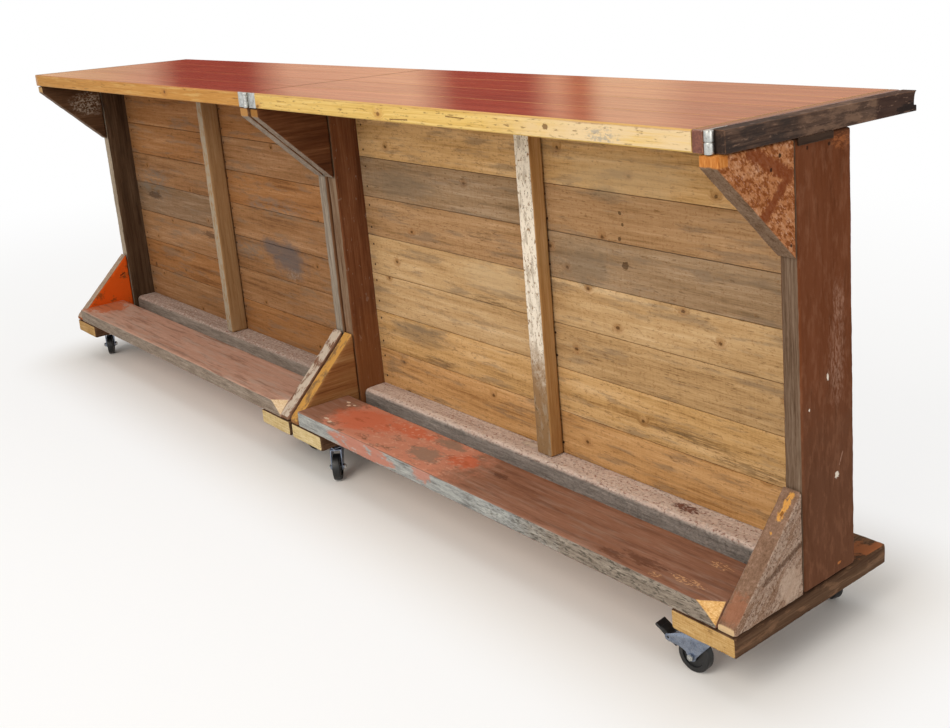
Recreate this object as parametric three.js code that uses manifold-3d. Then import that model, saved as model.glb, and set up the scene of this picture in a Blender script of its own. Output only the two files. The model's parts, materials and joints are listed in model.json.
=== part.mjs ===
// A folding portable bar made of reclaimed joists and boards: two counters on casters, joined
// by a butt hinge at the front edge of their tops, so that they fold face to face.
// Millimetres, +Z up. X runs along the counter, -Y is the guests' side, Z = 0 is the floor.
import * as THREE from "three";
import { RoundedBoxGeometry } from "three/addons/geometries/RoundedBoxGeometry.js";
import { mergeVertices } from "three/addons/utils/BufferGeometryUtils.js";
import Module from "manifold-3d";

const wasm = await Module();
wasm.setup();

// Overall sizes
const barHeight = 1100; // floor to serving surface
const sectionLength = 1700; // one section, from the fold to its outer end
const topDepth = 592; // front edge to back edge of the top
const foldGap = 3; // between the two tops

// Timber stock
const joistThick = 47; // posts, corbels, braces, skids, sill and footrest
const joistWide = 170;
const topThick = 41; // boards of the top
const topBoardWide = 148;
const battenWide = 26; // strip across the outer end of a top
const railThick = 34; // loose rail beyond the right-hand strip
const plankThick = 20; // boards of the wall
const plankWide = 115;
const studWide = 60; // upright in front of the wall
const studThick = 42;
const arris = 3; // worn edge of a timber
const topVee = 1.6; // width of the groove where two boards of the top meet
const plankVee = 4; // and two planks of the wall
const glueLine = 0.3; // between two pieces that meet

// Where the timbers stand, measured back from the front face or up from the skid's underside
const panelInset = 5; // end panel, from the end of its section
const postFront = 211;
const skidDepth = 492;
const wallFront = 296;
const sillFront = 227;
const sillWane = 18; // rounded front edge of the sill
const splitLong = 52; // corner split off a footrest's front edge: along it, back from it and down
const splitDeep = 36;
const splitDrop = 42;
const corbelNose = 25; // blunt front end of a corbel
const corbelDrop = 230; // from the top's underside to the corbel's foot
const braceNose = 15;
const braceRise = 228; // from the skid to the brace's head

// Fold hinge
const leafLong = 48; // from the fold to the end of a leaf
const leafThick = 3;
const knuckleRadius = 6.5;
const knuckleCount = 5;
const foldPinRadius = 3.5;
const pinPlay = 0.2; // round a pin, and between two knuckles
const screwRadius = 2.6;
const screwCount = 3; // in each leaf

// Half hinge on the right-hand end, for a further section
const endBarrelRadius = 9;
const endBarrelProud = 3; // in front of the top's front edge
const endBoreRadius = 4;
const endLeafLong = 62;
const endGroove = 1.5; // parts the upper knuckle from the lower one
const railLip = 12; // the rail's rear end: a square lip under a cove
const railCove = 9;
const packingThick = 4; // strip under the rail, on the post's outer face
const packingTall = 15;
const packingLong = 104;

// Casters
const casterHeight = 100; // floor to the skid's underside
const wheelRadius = 37.5;
const treadWide = 21;
const treadRound = 5; // rounding of the tread's shoulders
const hubWide = 25;
const hubRadius = 11;
const rimRadius = 26;
const webWide = 15;
const axleRadius = 5;
const axleHeadRadius = 8;
const axleHeadThick = 4;
const trail = 30; // axle behind the swivel
const plateLong = 76;
const plateWide = 64;
const plateThick = 3;
const plateHoleInset = 11;
const plateHoleRadius = 3.4;
const raceRadius = 25;
const raceDeep = 6;
const kingpinRadius = 6;
const kingpinHead = 10;
const kingpinHeadThick = 5;
const forkThick = 2.8;
const wheelPlay = 0.5; // wheel hub to fork
const swivelPlay = 0.5; // race to fork
const axleBoss = 11; // radius of the fork's end round the axle
const crownFront = 25; // fork's crown, ahead of and behind the swivel
const crownBack = 36;
const pedalPinRadius = 2.6;
const pedalPinBack = 88; // behind the swivel, at the end of the fork's horn
const pedalPinDrop = 40; // below the skid
const hornEnd = 8; // radius of the horn round the pedal's pin
const pedalThick = 6;
const treadLong = 24; // where the foot presses
const pedalWide = 30;
const treadOut = 22; // middle of the tread, out from the pin and up from it
const treadUp = 13;
const shoeBack = 20; // brake shoe, back from the pin towards the wheel and down from it
const shoeDrop = 13;
const rearCasterInset = 60; // from the skid's rear end

// How each caster happened to stop: inset from the end of its section, set back from the front,
// and the way it trails, in degrees from +X. The rear ones stand mid-skid.
const midSkid = panelInset + joistWide / 2;
const rearSetBack = skidDepth - rearCasterInset;
const casterPlaces = {
  right_outer_front: { inset: 119, setBack: 46, turn: 186, braked: true },
  right_inner_front: { inset: 138, setBack: 69, turn: -38 },
  right_outer_rear: { inset: midSkid, setBack: rearSetBack, turn: 160 },
  right_inner_rear: { inset: midSkid, setBack: rearSetBack, turn: 20 },
  left_outer_front: { inset: 56, setBack: 95, turn: -24 },
  left_inner_front: { inset: midSkid, setBack: 100, turn: 75 },
  left_outer_rear: { inset: midSkid, setBack: rearSetBack, turn: -30 },
  left_inner_rear: { inset: midSkid, setBack: rearSetBack, turn: 110 },
};

// Levels above the skid's underside, and places that follow from the sizes above
const skidTop = joistThick;
const topLevel = barHeight - casterHeight;
const topUnder = topLevel - topThick;
const sillTop = skidTop + glueLine + joistThick;
const postBack = postFront + joistWide;
const panelInner = panelInset + joistThick; // inner face of an end panel, from the section's end
const foldPinOut = knuckleRadius - leafThick; // fold axis in front of the tops
const seam = leafThick + 2 * glueLine; // rail to strip, filled by the half hinge's leaf
const foremost = foldPinOut + knuckleRadius;
const forkHalf = hubWide / 2 + wheelPlay;
const crownTop = plateThick + raceDeep + swivelPlay; // below the skid
const crownUnder = crownTop + forkThick;
const axleDrop = casterHeight - wheelRadius;

const wheelSides = 20;
const roundSides = 16;
const smallSides = 8;
const curveSteps = 4; // along each curve of a sheet-metal outline
const weld = 1e-4; // vertices closer than this are one

const bar = new THREE.Group();
// The origin is on the floor, under the middle of the bar's outer box.
bar.position.set(0, (foremost - topDepth) / 2, casterHeight);

function add(name, geometry, color, roughness = 0.75, metalness = 0) {
  const material = new THREE.MeshStandardMaterial({ color, roughness, metalness });
  const mesh = new THREE.Mesh(geometry, material);
  mesh.name = name;
  bar.add(mesh);
  return mesh;
}

// Solids for joining and cutting
function solid(geometry) {
  const bare = geometry.index ? geometry.toNonIndexed() : geometry.clone();
  bare.deleteAttribute("normal");
  bare.deleteAttribute("uv");
  const merged = mergeVertices(bare, weld);
  const vertProperties = merged.attributes.position.array;
  const triVerts = new Uint32Array(merged.index.array);
  return new wasm.Manifold(new wasm.Mesh({ numProp: 3, vertProperties, triVerts }));
}

function geometryOf(made) {
  const mesh = made.getMesh();
  const geometry = new THREE.BufferGeometry();
  geometry.setAttribute("position", new THREE.BufferAttribute(mesh.vertProperties, 3));
  geometry.setIndex(new THREE.BufferAttribute(mesh.triVerts, 1));
  geometry.computeVertexNormals();
  return geometry;
}

function joined(...geometries) {
  return geometries.map(solid).reduce((whole, piece) => whole.add(piece));
}

// A plain block between two corners
function block(x0, x1, y0, y1, z0, z1) {
  const geometry = new THREE.BoxGeometry(Math.abs(x1 - x0), Math.abs(y1 - y0), Math.abs(z1 - z0));
  return geometry.translate((x0 + x1) / 2, (y0 + y1) / 2, (z0 + z1) / 2);
}

// A sawn timber between two corners, its edges worn
function timber(x0, x1, y0, y1, z0, z1) {
  const size = [Math.abs(x1 - x0), Math.abs(y1 - y0), Math.abs(z1 - z0)];
  const geometry = new RoundedBoxGeometry(...size, 1, Math.min(arris, ...size.map((s) => s / 3)));
  return geometry.translate((x0 + x1) / 2, (y0 + y1) / 2, (z0 + z1) / 2);
}

// A profile drawn in Y and Z, run along X from one place to another
function alongX(shape, x0, x1, bevel = 0) {
  const from = Math.min(x0, x1);
  const length = Math.abs(x1 - x0);
  const geometry = new THREE.ExtrudeGeometry(shape, {
    depth: length - 2 * bevel,
    curveSegments: curveSteps,
    bevelEnabled: bevel > 0,
    bevelThickness: bevel,
    bevelSize: bevel,
    bevelOffset: -bevel,
    bevelSegments: 1,
  });
  geometry.rotateY(Math.PI / 2);
  geometry.rotateX(Math.PI / 2);
  return geometry.translate(from + bevel, 0, 0);
}

// A profile drawn in X and Y, run upwards; a full circle in it gets the given number of sides
function upright(shape, z0, z1, sides = roundSides) {
  const geometry = new THREE.ExtrudeGeometry(shape, {
    depth: z1 - z0,
    bevelEnabled: false,
    curveSegments: sides / 2,
  });
  return geometry.translate(0, 0, z0);
}

// A profile drawn in X and Z, run across Y from one place to another
function acrossY(shape, y0, y1) {
  const geometry = new THREE.ExtrudeGeometry(shape, {
    depth: y1 - y0,
    bevelEnabled: false,
    curveSegments: curveSteps,
  });
  return geometry.rotateX(Math.PI / 2).translate(0, y1, 0);
}

// A turned piece: pairs of radius and height, starting and ending on the axis or closed
function turned(pairs, sides) {
  const points = pairs.map(([radius, height]) => new THREE.Vector2(radius, height));
  return new THREE.LatheGeometry(points, sides);
}

function outline(points) {
  return new THREE.Shape(points.map(([a, b]) => new THREE.Vector2(a, b)));
}

function roundHole(x, y, radius) {
  const hole = new THREE.Path();
  hole.absarc(x, y, radius, 0, 2 * Math.PI, true);
  return hole;
}

// Boards laid edge to edge as one thickness, with a groove on both faces where two meet.
// The run goes from start to end, the faces lie at low and high.
function boardedProfile(start, end, pitch, vee, low, high) {
  const half = vee / 2;
  const joints = [];
  for (let at = start + pitch; at < end - vee - arris; at += pitch) joints.push(at);
  const groove = (at, face, depth) => [
    [at - half, face],
    [at, face + depth],
    [at + half, face],
  ];
  const lowSide = joints.flatMap((at) => groove(at, low, half));
  const highSide = joints.flatMap((at) => groove(at, high, -half));
  return [
    [start, low + arris],
    [start + arris, low],
    ...lowSide,
    [end - arris, low],
    [end, low + arris],
    [end, high - arris],
    [end - arris, high],
    ...highSide.reverse(),
    [start + arris, high],
    [start, high - arris],
  ];
}

// Sections

const wood = {
  right: { top: 0xb5703f, batten: 0x5a2e22, post: 0x6b3a22, innerPost: 0x4f2a1a, wall: 0xb98a55 },
  left: { top: 0xb06a3c, batten: 0x6a4630, post: 0x4a3423, innerPost: 0x6b4a33, wall: 0x9a6c42 },
};
const sideWood = {
  right: { corbel: 0xb0744a, brace: 0x8a6e5c, footrest: 0x80503c, sill: 0xa38a80, stud: 0xb07c48 },
  left: { corbel: 0x4a3423, brace: 0xa05028, footrest: 0x9a7464, sill: 0x94807a, stud: 0xb5935f },
};
const skidColor = 0x8a6a42;

// What has split off a footrest at the right-hand end of its front edge: a corner with three faces
function splitCorner(end) {
  const past = 1; // the cutter's own corner stands out past the timber's
  const grow = 1 + past * (1 / splitLong + 1 / splitDeep + 1 / splitDrop);
  const tip = new THREE.Vector3(end + past, -past, sillTop + past);
  const along = tip.clone().setX(tip.x - splitLong * grow);
  const back = tip.clone().setY(tip.y + splitDeep * grow);
  const down = tip.clone().setZ(tip.z - splitDrop * grow);
  const faces = [tip, back, along, tip, along, down, tip, down, back, along, back, down];
  return solid(new THREE.BufferGeometry().setFromPoints(faces));
}

function buildSection(name, side) {
  const at = (fromFold) => side * fromFold;
  const stripOuter = sectionLength - (side > 0 ? railThick + seam : 0);
  const deckEnd = stripOuter - battenWide - glueLine;
  const color = { ...wood[name], ...sideWood[name] };

  // The top: boards along the counter, recessed at the fold for the hinge
  const deckShape = outline(boardedProfile(0, topDepth, topBoardWide, topVee, topUnder, topLevel));
  const deck = solid(alongX(deckShape, at(foldGap / 2), at(deckEnd)));
  const past = 1; // cutters stand out past the faces they cut
  const leafRecess = block(
    at(0), at(leafLong + glueLine),
    -past, leafThick + glueLine,
    topUnder - past, topLevel + past,
  );
  const knuckleRecess = block(
    at(0), at(knuckleRadius + past),
    -past, leafThick + past,
    topUnder - past, topLevel + past,
  );
  const recess = joined(leafRecess, knuckleRecess);
  add(name + "_top_boards", geometryOf(deck.subtract(recess)), color.top, 0.25);
  add(
    name + "_end_strip",
    timber(at(stripOuter - battenWide), at(stripOuter), 0, topDepth, topUnder, topLevel),
    color.batten,
    0.35,
  );

  // An end panel at the fold and one at the outer end: post, corbel, brace and skid
  const innerFaces = [panelInner, sectionLength - panelInner];
  const panels = { inner: [panelInset, panelInner] };
  panels.outer = [sectionLength - panelInner, sectionLength - panelInset];
  for (const [end, [from, to]] of Object.entries(panels)) {
    const label = name + "_" + end;
    const post = timber(
      at(from), at(to),
      postFront, postBack,
      skidTop + glueLine, topUnder - glueLine,
    );
    add(label + "_post", post, end === "inner" ? color.innerPost : color.post);

    const corbelTop = topUnder - glueLine;
    const corbelShape = outline([
      [glueLine, corbelTop],
      [glueLine, corbelTop - corbelNose],
      [postFront - glueLine, topUnder - corbelDrop],
      [postFront - glueLine, corbelTop],
    ]);
    add(label + "_corbel", alongX(corbelShape, at(from), at(to), arris / 2), color.corbel);

    const braceFoot = skidTop + glueLine;
    const braceShape = outline([
      [glueLine, braceFoot],
      [postFront - glueLine, braceFoot],
      [postFront - glueLine, skidTop + braceRise],
      [glueLine, braceFoot + braceNose],
    ]);
    add(label + "_brace", alongX(braceShape, at(from), at(to), arris / 2), color.brace);

    const skidFrom = end === "inner" ? from : to - joistWide;
    const skid = timber(at(skidFrom), at(skidFrom + joistWide), 0, skidDepth, 0, skidTop);
    add(label + "_skid", skid, skidColor);
  }

  // Boards that run between the two panels
  const from = at(innerFaces[0] + glueLine);
  const to = at(innerFaces[1] - glueLine);
  const boardFoot = skidTop + glueLine;
  const plainFootrest = timber(from, to, 0, joistWide, boardFoot, sillTop);
  const footrest = solid(plainFootrest).subtract(splitCorner(Math.max(from, to)));
  add(name + "_footrest", geometryOf(footrest), color.footrest);
  const sillBack = sillFront + joistWide;
  const sillShape = outline([[sillFront, boardFoot], [sillBack, boardFoot], [sillBack, sillTop]]);
  sillShape.lineTo(sillFront + sillWane, sillTop);
  sillShape.quadraticCurveTo(sillFront, sillTop, sillFront, sillTop - sillWane);
  add(name + "_sill", alongX(sillShape, from, to, arris / 2), color.sill);

  const wallRun = boardedProfile(
    sillTop + glueLine, topUnder - glueLine,
    plankWide, plankVee,
    wallFront, wallFront + plankThick,
  );
  const wallShape = outline(wallRun.map(([height, depth]) => [depth, height]).reverse());
  add(name + "_wall_planks", alongX(wallShape, from, to), color.wall);

  // The upright stands broad side forward in the right section, edge forward in the left one
  const [studAcross, studDeep] = side > 0 ? [studWide, studThick] : [studThick, studWide];
  const stud = timber(
    at((sectionLength - studAcross) / 2), at((sectionLength + studAcross) / 2),
    wallFront - glueLine - studDeep, wallFront - glueLine,
    sillTop + glueLine, topUnder - glueLine,
  );
  add(name + "_stud", stud, color.stud);
  return stripOuter;
}

const stripFace = buildSection("right", 1);
buildSection("left", -1);

// Fold hinge: two leaves let into the tops' front edges, their knuckles in turn round one pin

const zinc = 0x9aa0a2;
const knucklePitch = topThick / knuckleCount;

function foldLeaf(side) {
  const clearOfBarrel = knuckleRadius + 2 * pinPlay;
  let leaf = solid(
    block(side * clearOfBarrel, side * leafLong, 0, leafThick, topUnder, topLevel),
  );
  for (let i = 0; i < knuckleCount; i += 1) {
    const mine = (i % 2 === 0) === side < 0;
    if (!mine) continue;
    const z0 = topUnder + i * knucklePitch + pinPlay / 2;
    const z1 = topUnder + (i + 1) * knucklePitch - pinPlay / 2;
    const ring = new THREE.Shape();
    ring.absarc(0, -foldPinOut, knuckleRadius, 0, 2 * Math.PI);
    const tab = block(0, side * (clearOfBarrel + 1), 0, leafThick, z0, z1);
    leaf = leaf.add(joined(upright(ring, z0, z1), tab));
  }
  const bore = new THREE.Shape();
  bore.absarc(0, -foldPinOut, foldPinRadius + pinPlay, 0, 2 * Math.PI);
  leaf = leaf.subtract(solid(upright(bore, topUnder - 1, topLevel + 1)));
  for (let i = 0; i < screwCount; i += 1) {
    const hole = new THREE.CylinderGeometry(screwRadius, screwRadius, 3 * leafThick, smallSides);
    const across = clearOfBarrel + (leafLong - clearOfBarrel) * (i % 2 ? 0.7 : 0.4);
    const up = topUnder + (topThick * (i + 0.5)) / screwCount;
    leaf = leaf.subtract(solid(hole.translate(side * across, leafThick / 2, up)));
  }
  return geometryOf(leaf);
}

add("fold_hinge_right_leaf", foldLeaf(1), zinc, 0.4, 0.9);
add("fold_hinge_left_leaf", foldLeaf(-1), zinc, 0.4, 0.9);
const pinShape = new THREE.Shape();
pinShape.absarc(0, -foldPinOut, foldPinRadius, 0, 2 * Math.PI);
add("fold_hinge_pin", upright(pinShape, topUnder, topLevel), zinc, 0.4, 0.9);

// Right-hand end: half a hinge screwed to the strip, and the loose rail beyond it

const endBarrelX = stripFace + glueLine + endBarrelRadius;
const endBarrelY = endBarrelRadius - endBarrelProud;
const endBarrel = turned(
  [
    [endBoreRadius, 0],
    [endBarrelRadius, 0],
    [endBarrelRadius, topThick / 2 - endGroove],
    [endBarrelRadius - endGroove, topThick / 2],
    [endBarrelRadius, topThick / 2 + endGroove],
    [endBarrelRadius, topThick],
    [endBoreRadius, topThick],
    [endBoreRadius, 0],
  ],
  roundSides,
);
endBarrel.rotateX(Math.PI / 2).translate(endBarrelX, endBarrelY, topUnder);
const endLeaf = block(
  stripFace + glueLine, stripFace + glueLine + leafThick,
  endBarrelY, endLeafLong,
  topUnder, topLevel,
);
add("end_hinge_half", geometryOf(joined(endBarrel, endLeaf)), zinc, 0.4, 0.9);

const railFront = endBarrelY + endBarrelRadius + glueLine;
const railShape = outline([
  [railFront, topUnder],
  [topDepth, topUnder],
  [topDepth, topUnder + railLip],
  [topDepth - railCove, topUnder + railLip],
]);
railShape.quadraticCurveTo(topDepth - railCove, topLevel - railLip / 3, topDepth, topLevel);
railShape.lineTo(railFront, topLevel);
const rail = alongX(railShape, stripFace + seam, sectionLength, arris / 2);
add("end_rail", rail, 0x3a2a26, 0.6);

const packingFoot = topUnder - glueLine - packingTall;
const packing = timber(
  sectionLength - panelInset + glueLine, sectionLength - panelInset + glueLine + packingThick,
  postFront + arris, postFront + arris + packingLong,
  packingFoot, packingFoot + packingTall,
);
add("rail_packing", packing, 0x2a1c16, 0.6);

// Casters: a plate screwed under the skid, a fork that swivels on its kingpin, and a wheel

const steel = 0x6a7485;
const blackRubber = 0x17181a;

function casterPlate() {
  const shape = new THREE.Shape();
  const [halfLong, halfWide] = [plateLong / 2, plateWide / 2];
  shape.moveTo(-halfLong, -halfWide);
  shape.lineTo(halfLong, -halfWide);
  shape.lineTo(halfLong, halfWide);
  shape.lineTo(-halfLong, halfWide);
  for (const x of [-1, 1]) {
    for (const y of [-1, 1]) {
      const [holeX, holeY] = [x * (halfLong - plateHoleInset), y * (halfWide - plateHoleInset)];
      shape.holes.push(roundHole(holeX, holeY, plateHoleRadius));
    }
  }
  const plate = upright(shape, -glueLine - plateThick, -glueLine, smallSides);
  const headTop = crownUnder + swivelPlay;
  const raceFoot = plateThick + raceDeep;
  const kingpin = turned(
    [
      [0, -headTop - kingpinHeadThick],
      [kingpinHead - 2, -headTop - kingpinHeadThick],
      [kingpinHead, -headTop],
      [kingpinRadius, -headTop],
      [kingpinRadius, -raceFoot],
      [raceRadius - raceDeep / 2, -raceFoot],
      [raceRadius, -plateThick],
      [0, -plateThick / 2],
    ],
    roundSides,
  );
  return geometryOf(joined(plate, kingpin.rotateX(Math.PI / 2)));
}

// One side of the fork: broad at the crown, drawn in to a boss round the axle. With a brake, a
// horn sweeps back from it to the pedal's pin.
function cheekShape(braked) {
  const shape = new THREE.Shape();
  shape.moveTo(-crownFront, -crownTop);
  shape.lineTo(-crownFront, -crownUnder - forkThick);
  shape.quadraticCurveTo(-crownFront / 3, -axleDrop / 2, trail - axleBoss, -axleDrop);
  shape.absarc(trail, -axleDrop, axleBoss, Math.PI, 2 * Math.PI);
  if (braked) {
    const hornUnder = -pedalPinDrop - hornEnd;
    shape.quadraticCurveTo(trail + axleBoss, hornUnder, pedalPinBack, hornUnder);
    shape.absarc(pedalPinBack, -pedalPinDrop, hornEnd, -Math.PI / 2, Math.PI / 2);
    shape.holes.push(roundHole(pedalPinBack, -pedalPinDrop, pedalPinRadius + 2 * pinPlay));
  } else {
    shape.quadraticCurveTo(trail + axleBoss, -axleDrop / 2, crownBack, -crownUnder - forkThick);
  }
  shape.lineTo(crownBack, -crownTop);
  return shape;
}

// The web that closes the horn's top, from the crown to short of the pedal
function hornWeb() {
  const slope = (pedalPinDrop - hornEnd - crownTop) / (pedalPinBack - crownBack);
  const webEnd = pedalPinBack - 2 * hornEnd;
  const endDrop = crownTop + slope * (webEnd - crownBack);
  const web = outline([
    [crownBack - forkThick, -crownTop],
    [crownBack - forkThick, -crownUnder],
    [webEnd, -endDrop - forkThick],
    [webEnd, -endDrop],
    [crownBack, -crownTop],
  ]);
  return acrossY(web, -forkHalf - forkThick / 2, forkHalf + forkThick / 2);
}

function casterFork(braked) {
  const crown = new THREE.Shape();
  const halfCrown = forkHalf + forkThick;
  crown.moveTo(-crownFront, -halfCrown);
  crown.lineTo(crownBack, -halfCrown);
  crown.lineTo(crownBack, halfCrown);
  crown.lineTo(-crownFront, halfCrown);
  crown.holes.push(roundHole(0, 0, kingpinRadius + pinPlay));
  const cheek = cheekShape(braked);
  const axleLong = 2 * halfCrown;
  const axle = new THREE.CylinderGeometry(axleRadius, axleRadius, axleLong, smallSides);
  const headY = halfCrown + axleHeadThick / 2;
  const heads = [-1, 1].map((end) => {
    const reach = axleHeadThick + 1;
    const head = new THREE.CylinderGeometry(axleHeadRadius, axleHeadRadius, reach, 6);
    return head.translate(trail, end * (headY - 0.5), -axleDrop);
  });
  return geometryOf(
    joined(
      upright(crown, -crownUnder, -crownTop),
      acrossY(cheek, forkHalf, halfCrown),
      acrossY(cheek, -halfCrown, -forkHalf),
      axle.translate(trail, 0, -axleDrop),
      ...heads,
      ...(braked ? [hornWeb()] : []),
    ),
  );
}

// Half of the wheel's section, from its bore out to the middle of its tread
function casterWheel() {
  const half = [
    [axleRadius + pinPlay, hubWide / 2],
    [hubRadius, hubWide / 2],
    [hubRadius + 2, webWide / 2],
    [rimRadius, webWide / 2],
    [rimRadius + 2, treadWide / 2],
    [wheelRadius - treadRound, treadWide / 2],
    [wheelRadius - treadRound / 3, treadWide / 2 - treadRound / 3],
    [wheelRadius, treadWide / 2 - treadRound],
  ];
  const mirrored = half.map(([radius, across]) => [radius, -across]);
  const loop = [...mirrored, ...half.reverse(), mirrored[0]];
  return turned(loop, wheelSides).translate(trail, 0, -axleDrop);
}

// A crank on the horn's pin: outwards the tread, tipped up, and inwards the shoe
function brakePedal() {
  const half = pedalThick / 2;
  const [pinX, pinZ] = [pedalPinBack, -pedalPinDrop];
  const crank = outline([
    [pinX - shoeBack, pinZ - shoeDrop + half],
    [pinX - shoeBack + half, pinZ - shoeDrop - half],
    [pinX + half, pinZ - pedalThick],
    [pinX + treadOut + half, pinZ + treadUp - half],
    [pinX + treadOut - half, pinZ + treadUp + half],
    [pinX - half, pinZ + half],
  ]);
  const tread = new RoundedBoxGeometry(treadLong, pedalWide, pedalThick, 1, pedalThick / 4);
  tread.rotateY(-Math.atan2(treadUp, treadOut));
  tread.translate(pinX + treadOut, 0, pinZ + treadUp);
  const armHalf = forkHalf - wheelPlay;
  const pinLong = 2 * (forkHalf + forkThick);
  const pin = new THREE.CylinderGeometry(pedalPinRadius, pedalPinRadius, pinLong, smallSides);
  return geometryOf(
    joined(acrossY(crank, -armHalf, armHalf), tread, pin.translate(pinX, 0, pinZ)),
  );
}

for (const [name, place] of Object.entries(casterPlaces)) {
  const side = name.startsWith("right") ? 1 : -1;
  const inner = name.includes("inner");
  const fromFold = inner ? place.inset : sectionLength - place.inset;
  const spot = new THREE.Vector3(side * fromFold, place.setBack, 0);
  const turn = THREE.MathUtils.degToRad(place.turn);
  add(name + "_caster_plate", casterPlate(), steel, 0.35, 0.9).position.copy(spot);
  const swivelling = [
    add(name + "_caster_fork", casterFork(place.braked), steel, 0.35, 0.9),
    add(name + "_caster_wheel", casterWheel(), blackRubber, 0.5),
  ];
  if (place.braked) swivelling.push(add(name + "_brake_pedal", brakePedal(), blackRubber, 0.5));
  for (const mesh of swivelling) {
    mesh.position.copy(spot);
    mesh.rotation.z = turn;
  }
}

export default bar;
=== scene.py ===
import json
import math
import random

import bmesh
import bpy
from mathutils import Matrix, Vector

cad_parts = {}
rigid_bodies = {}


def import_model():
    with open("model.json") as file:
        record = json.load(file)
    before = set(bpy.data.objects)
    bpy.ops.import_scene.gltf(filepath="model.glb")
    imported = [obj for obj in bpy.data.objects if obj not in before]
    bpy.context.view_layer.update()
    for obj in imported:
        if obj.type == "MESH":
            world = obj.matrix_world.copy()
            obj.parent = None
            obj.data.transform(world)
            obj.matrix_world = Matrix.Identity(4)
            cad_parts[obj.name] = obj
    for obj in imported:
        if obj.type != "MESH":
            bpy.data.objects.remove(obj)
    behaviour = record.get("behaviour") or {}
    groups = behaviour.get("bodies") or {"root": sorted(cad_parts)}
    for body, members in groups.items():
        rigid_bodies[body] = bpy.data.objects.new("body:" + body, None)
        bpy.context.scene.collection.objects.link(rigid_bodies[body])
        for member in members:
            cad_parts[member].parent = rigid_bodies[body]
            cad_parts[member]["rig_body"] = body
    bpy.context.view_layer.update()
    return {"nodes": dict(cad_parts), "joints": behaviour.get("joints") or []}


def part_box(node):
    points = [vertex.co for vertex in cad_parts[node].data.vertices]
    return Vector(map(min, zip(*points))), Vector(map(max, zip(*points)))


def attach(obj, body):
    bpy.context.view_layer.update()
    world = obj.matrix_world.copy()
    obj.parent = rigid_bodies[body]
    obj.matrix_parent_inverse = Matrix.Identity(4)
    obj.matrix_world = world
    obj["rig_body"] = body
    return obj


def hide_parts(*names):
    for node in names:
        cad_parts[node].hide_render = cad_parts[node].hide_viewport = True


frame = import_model()
nodes = frame["nodes"]
joints = {joint["name"]: joint for joint in frame["joints"]}
bodyOf = {name: nodes[name]["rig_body"] for name in nodes}
mm = 0.001
random.seed(7)


# Helpers for shader nodes

def linear(hexColor):  # sRGB hex to the linear colour that a socket takes
    channels = [int(hexColor[i:i + 2], 16) / 255 for i in (1, 3, 5)]
    return [c / 12.92 if c <= 0.04045 else ((c + 0.055) / 1.055) ** 2.4 for c in channels] + [1]


def setInputs(tree, node, inputs):
    # by name or in order; an input is linked if it is a socket, and set if it is a value
    for key, value in inputs.items() if isinstance(inputs, dict) else enumerate(inputs):
        if isinstance(value, bpy.types.NodeSocket):
            tree.links.new(value, node.inputs[key])
        else:
            node.inputs[key].default_value = value


def addNode(tree, kind, inputs=(), output=0, **settings):
    # gives one output of the new node, or the node itself for None
    node = tree.nodes.new("ShaderNode" + kind)
    for key, value in settings.items():
        setattr(node, key, value)
    setInputs(tree, node, inputs)
    return node if output is None else node.outputs[output]


def emptyTree(owner):
    owner.use_nodes = True
    owner.node_tree.nodes.clear()
    return owner.node_tree


def newMaterial(name):
    material = bpy.data.materials.new(name)
    tree = emptyTree(material)
    shader = addNode(tree, "BsdfPrincipled", output=None)
    addNode(tree, "OutputMaterial", [shader.outputs[0]], None)
    place = addNode(tree, "TexCoord", output=None)
    return material, tree, shader, place.outputs


def fillRamp(ramp, places):
    marks = ramp.color_ramp.elements
    for index, (at, color) in enumerate(places):
        mark = marks[index] if index < 2 else marks.new(at)
        mark.position = at
        mark.color = linear(color)


def mottle(tree, coords, sizeMm, seed=0, detail=4.0, rough=0.6):
    # soft random patches, one about sizeMm across in each direction
    sized = addNode(tree, "Mapping", {"Vector": coords, "Scale": [1000 / s for s in sizeMm],
                                      "Location": [seed * step for step in (3.7, 5.3, 7.9)]})
    return addNode(tree, "TexNoise", {"Vector": sized, "Scale": 1.0, "Detail": detail, "Roughness": rough})


def grainSize(axis, longMm, wideMm):
    size = [wideMm] * 3
    size["XYZ".index(axis)] = longMm
    return size


# Where a stain, a coat of paint or wear lies; soft says how slowly it fades out, and torn how ragged it is

def patches(sizeMm, level, soft=0.1, seed=1):  # where random noise is over a level
    return {"mottle": sizeMm, "level": level, "soft": soft, "seed": seed}


def spot(at, size, torn=0.7, soft=0.1):  # an ellipsoid
    return {"near": at, "size": size, "torn": torn, "soft": soft}


def stroke(start, end, wide, torn=0.7, soft=0.1):  # a line from one point to another
    return {"stroke": (start, end), "wide": wide, "torn": torn, "soft": soft}


def past(axis, none, full, torn=0.0, tearMm=(60, 60, 60)):  # beyond a place along one axis
    return {"past": axis, "between": (none, full), "torn": torn, "tearMm": tearMm}


def facing(direction, turned=(0.78, 0.9)):  # where the surface is turned one way
    return {"facing": direction, "turned": turned}


def edges(wideMm):  # along the edges of the piece's own box
    return {"edges": wideMm}


def anyOf(*places):
    return {"any": places}


def spots(face, torn, soft, *places):  # several on one face, each by its place and size along the face
    axis, level, deep = face
    found = []
    for acrossAt, upAt, wide, high in places:
        at, size = [acrossAt, upAt], [wide, high]
        at.insert(axis, level)
        size.insert(axis, deep)
        found.append(spot(at, size, torn, soft))
    return anyOf(*found)


def layer(over, amount, *where, **more):  # over is a colour, or the look of another wood
    return dict(more, over=over, amount=amount, where=where)


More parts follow.
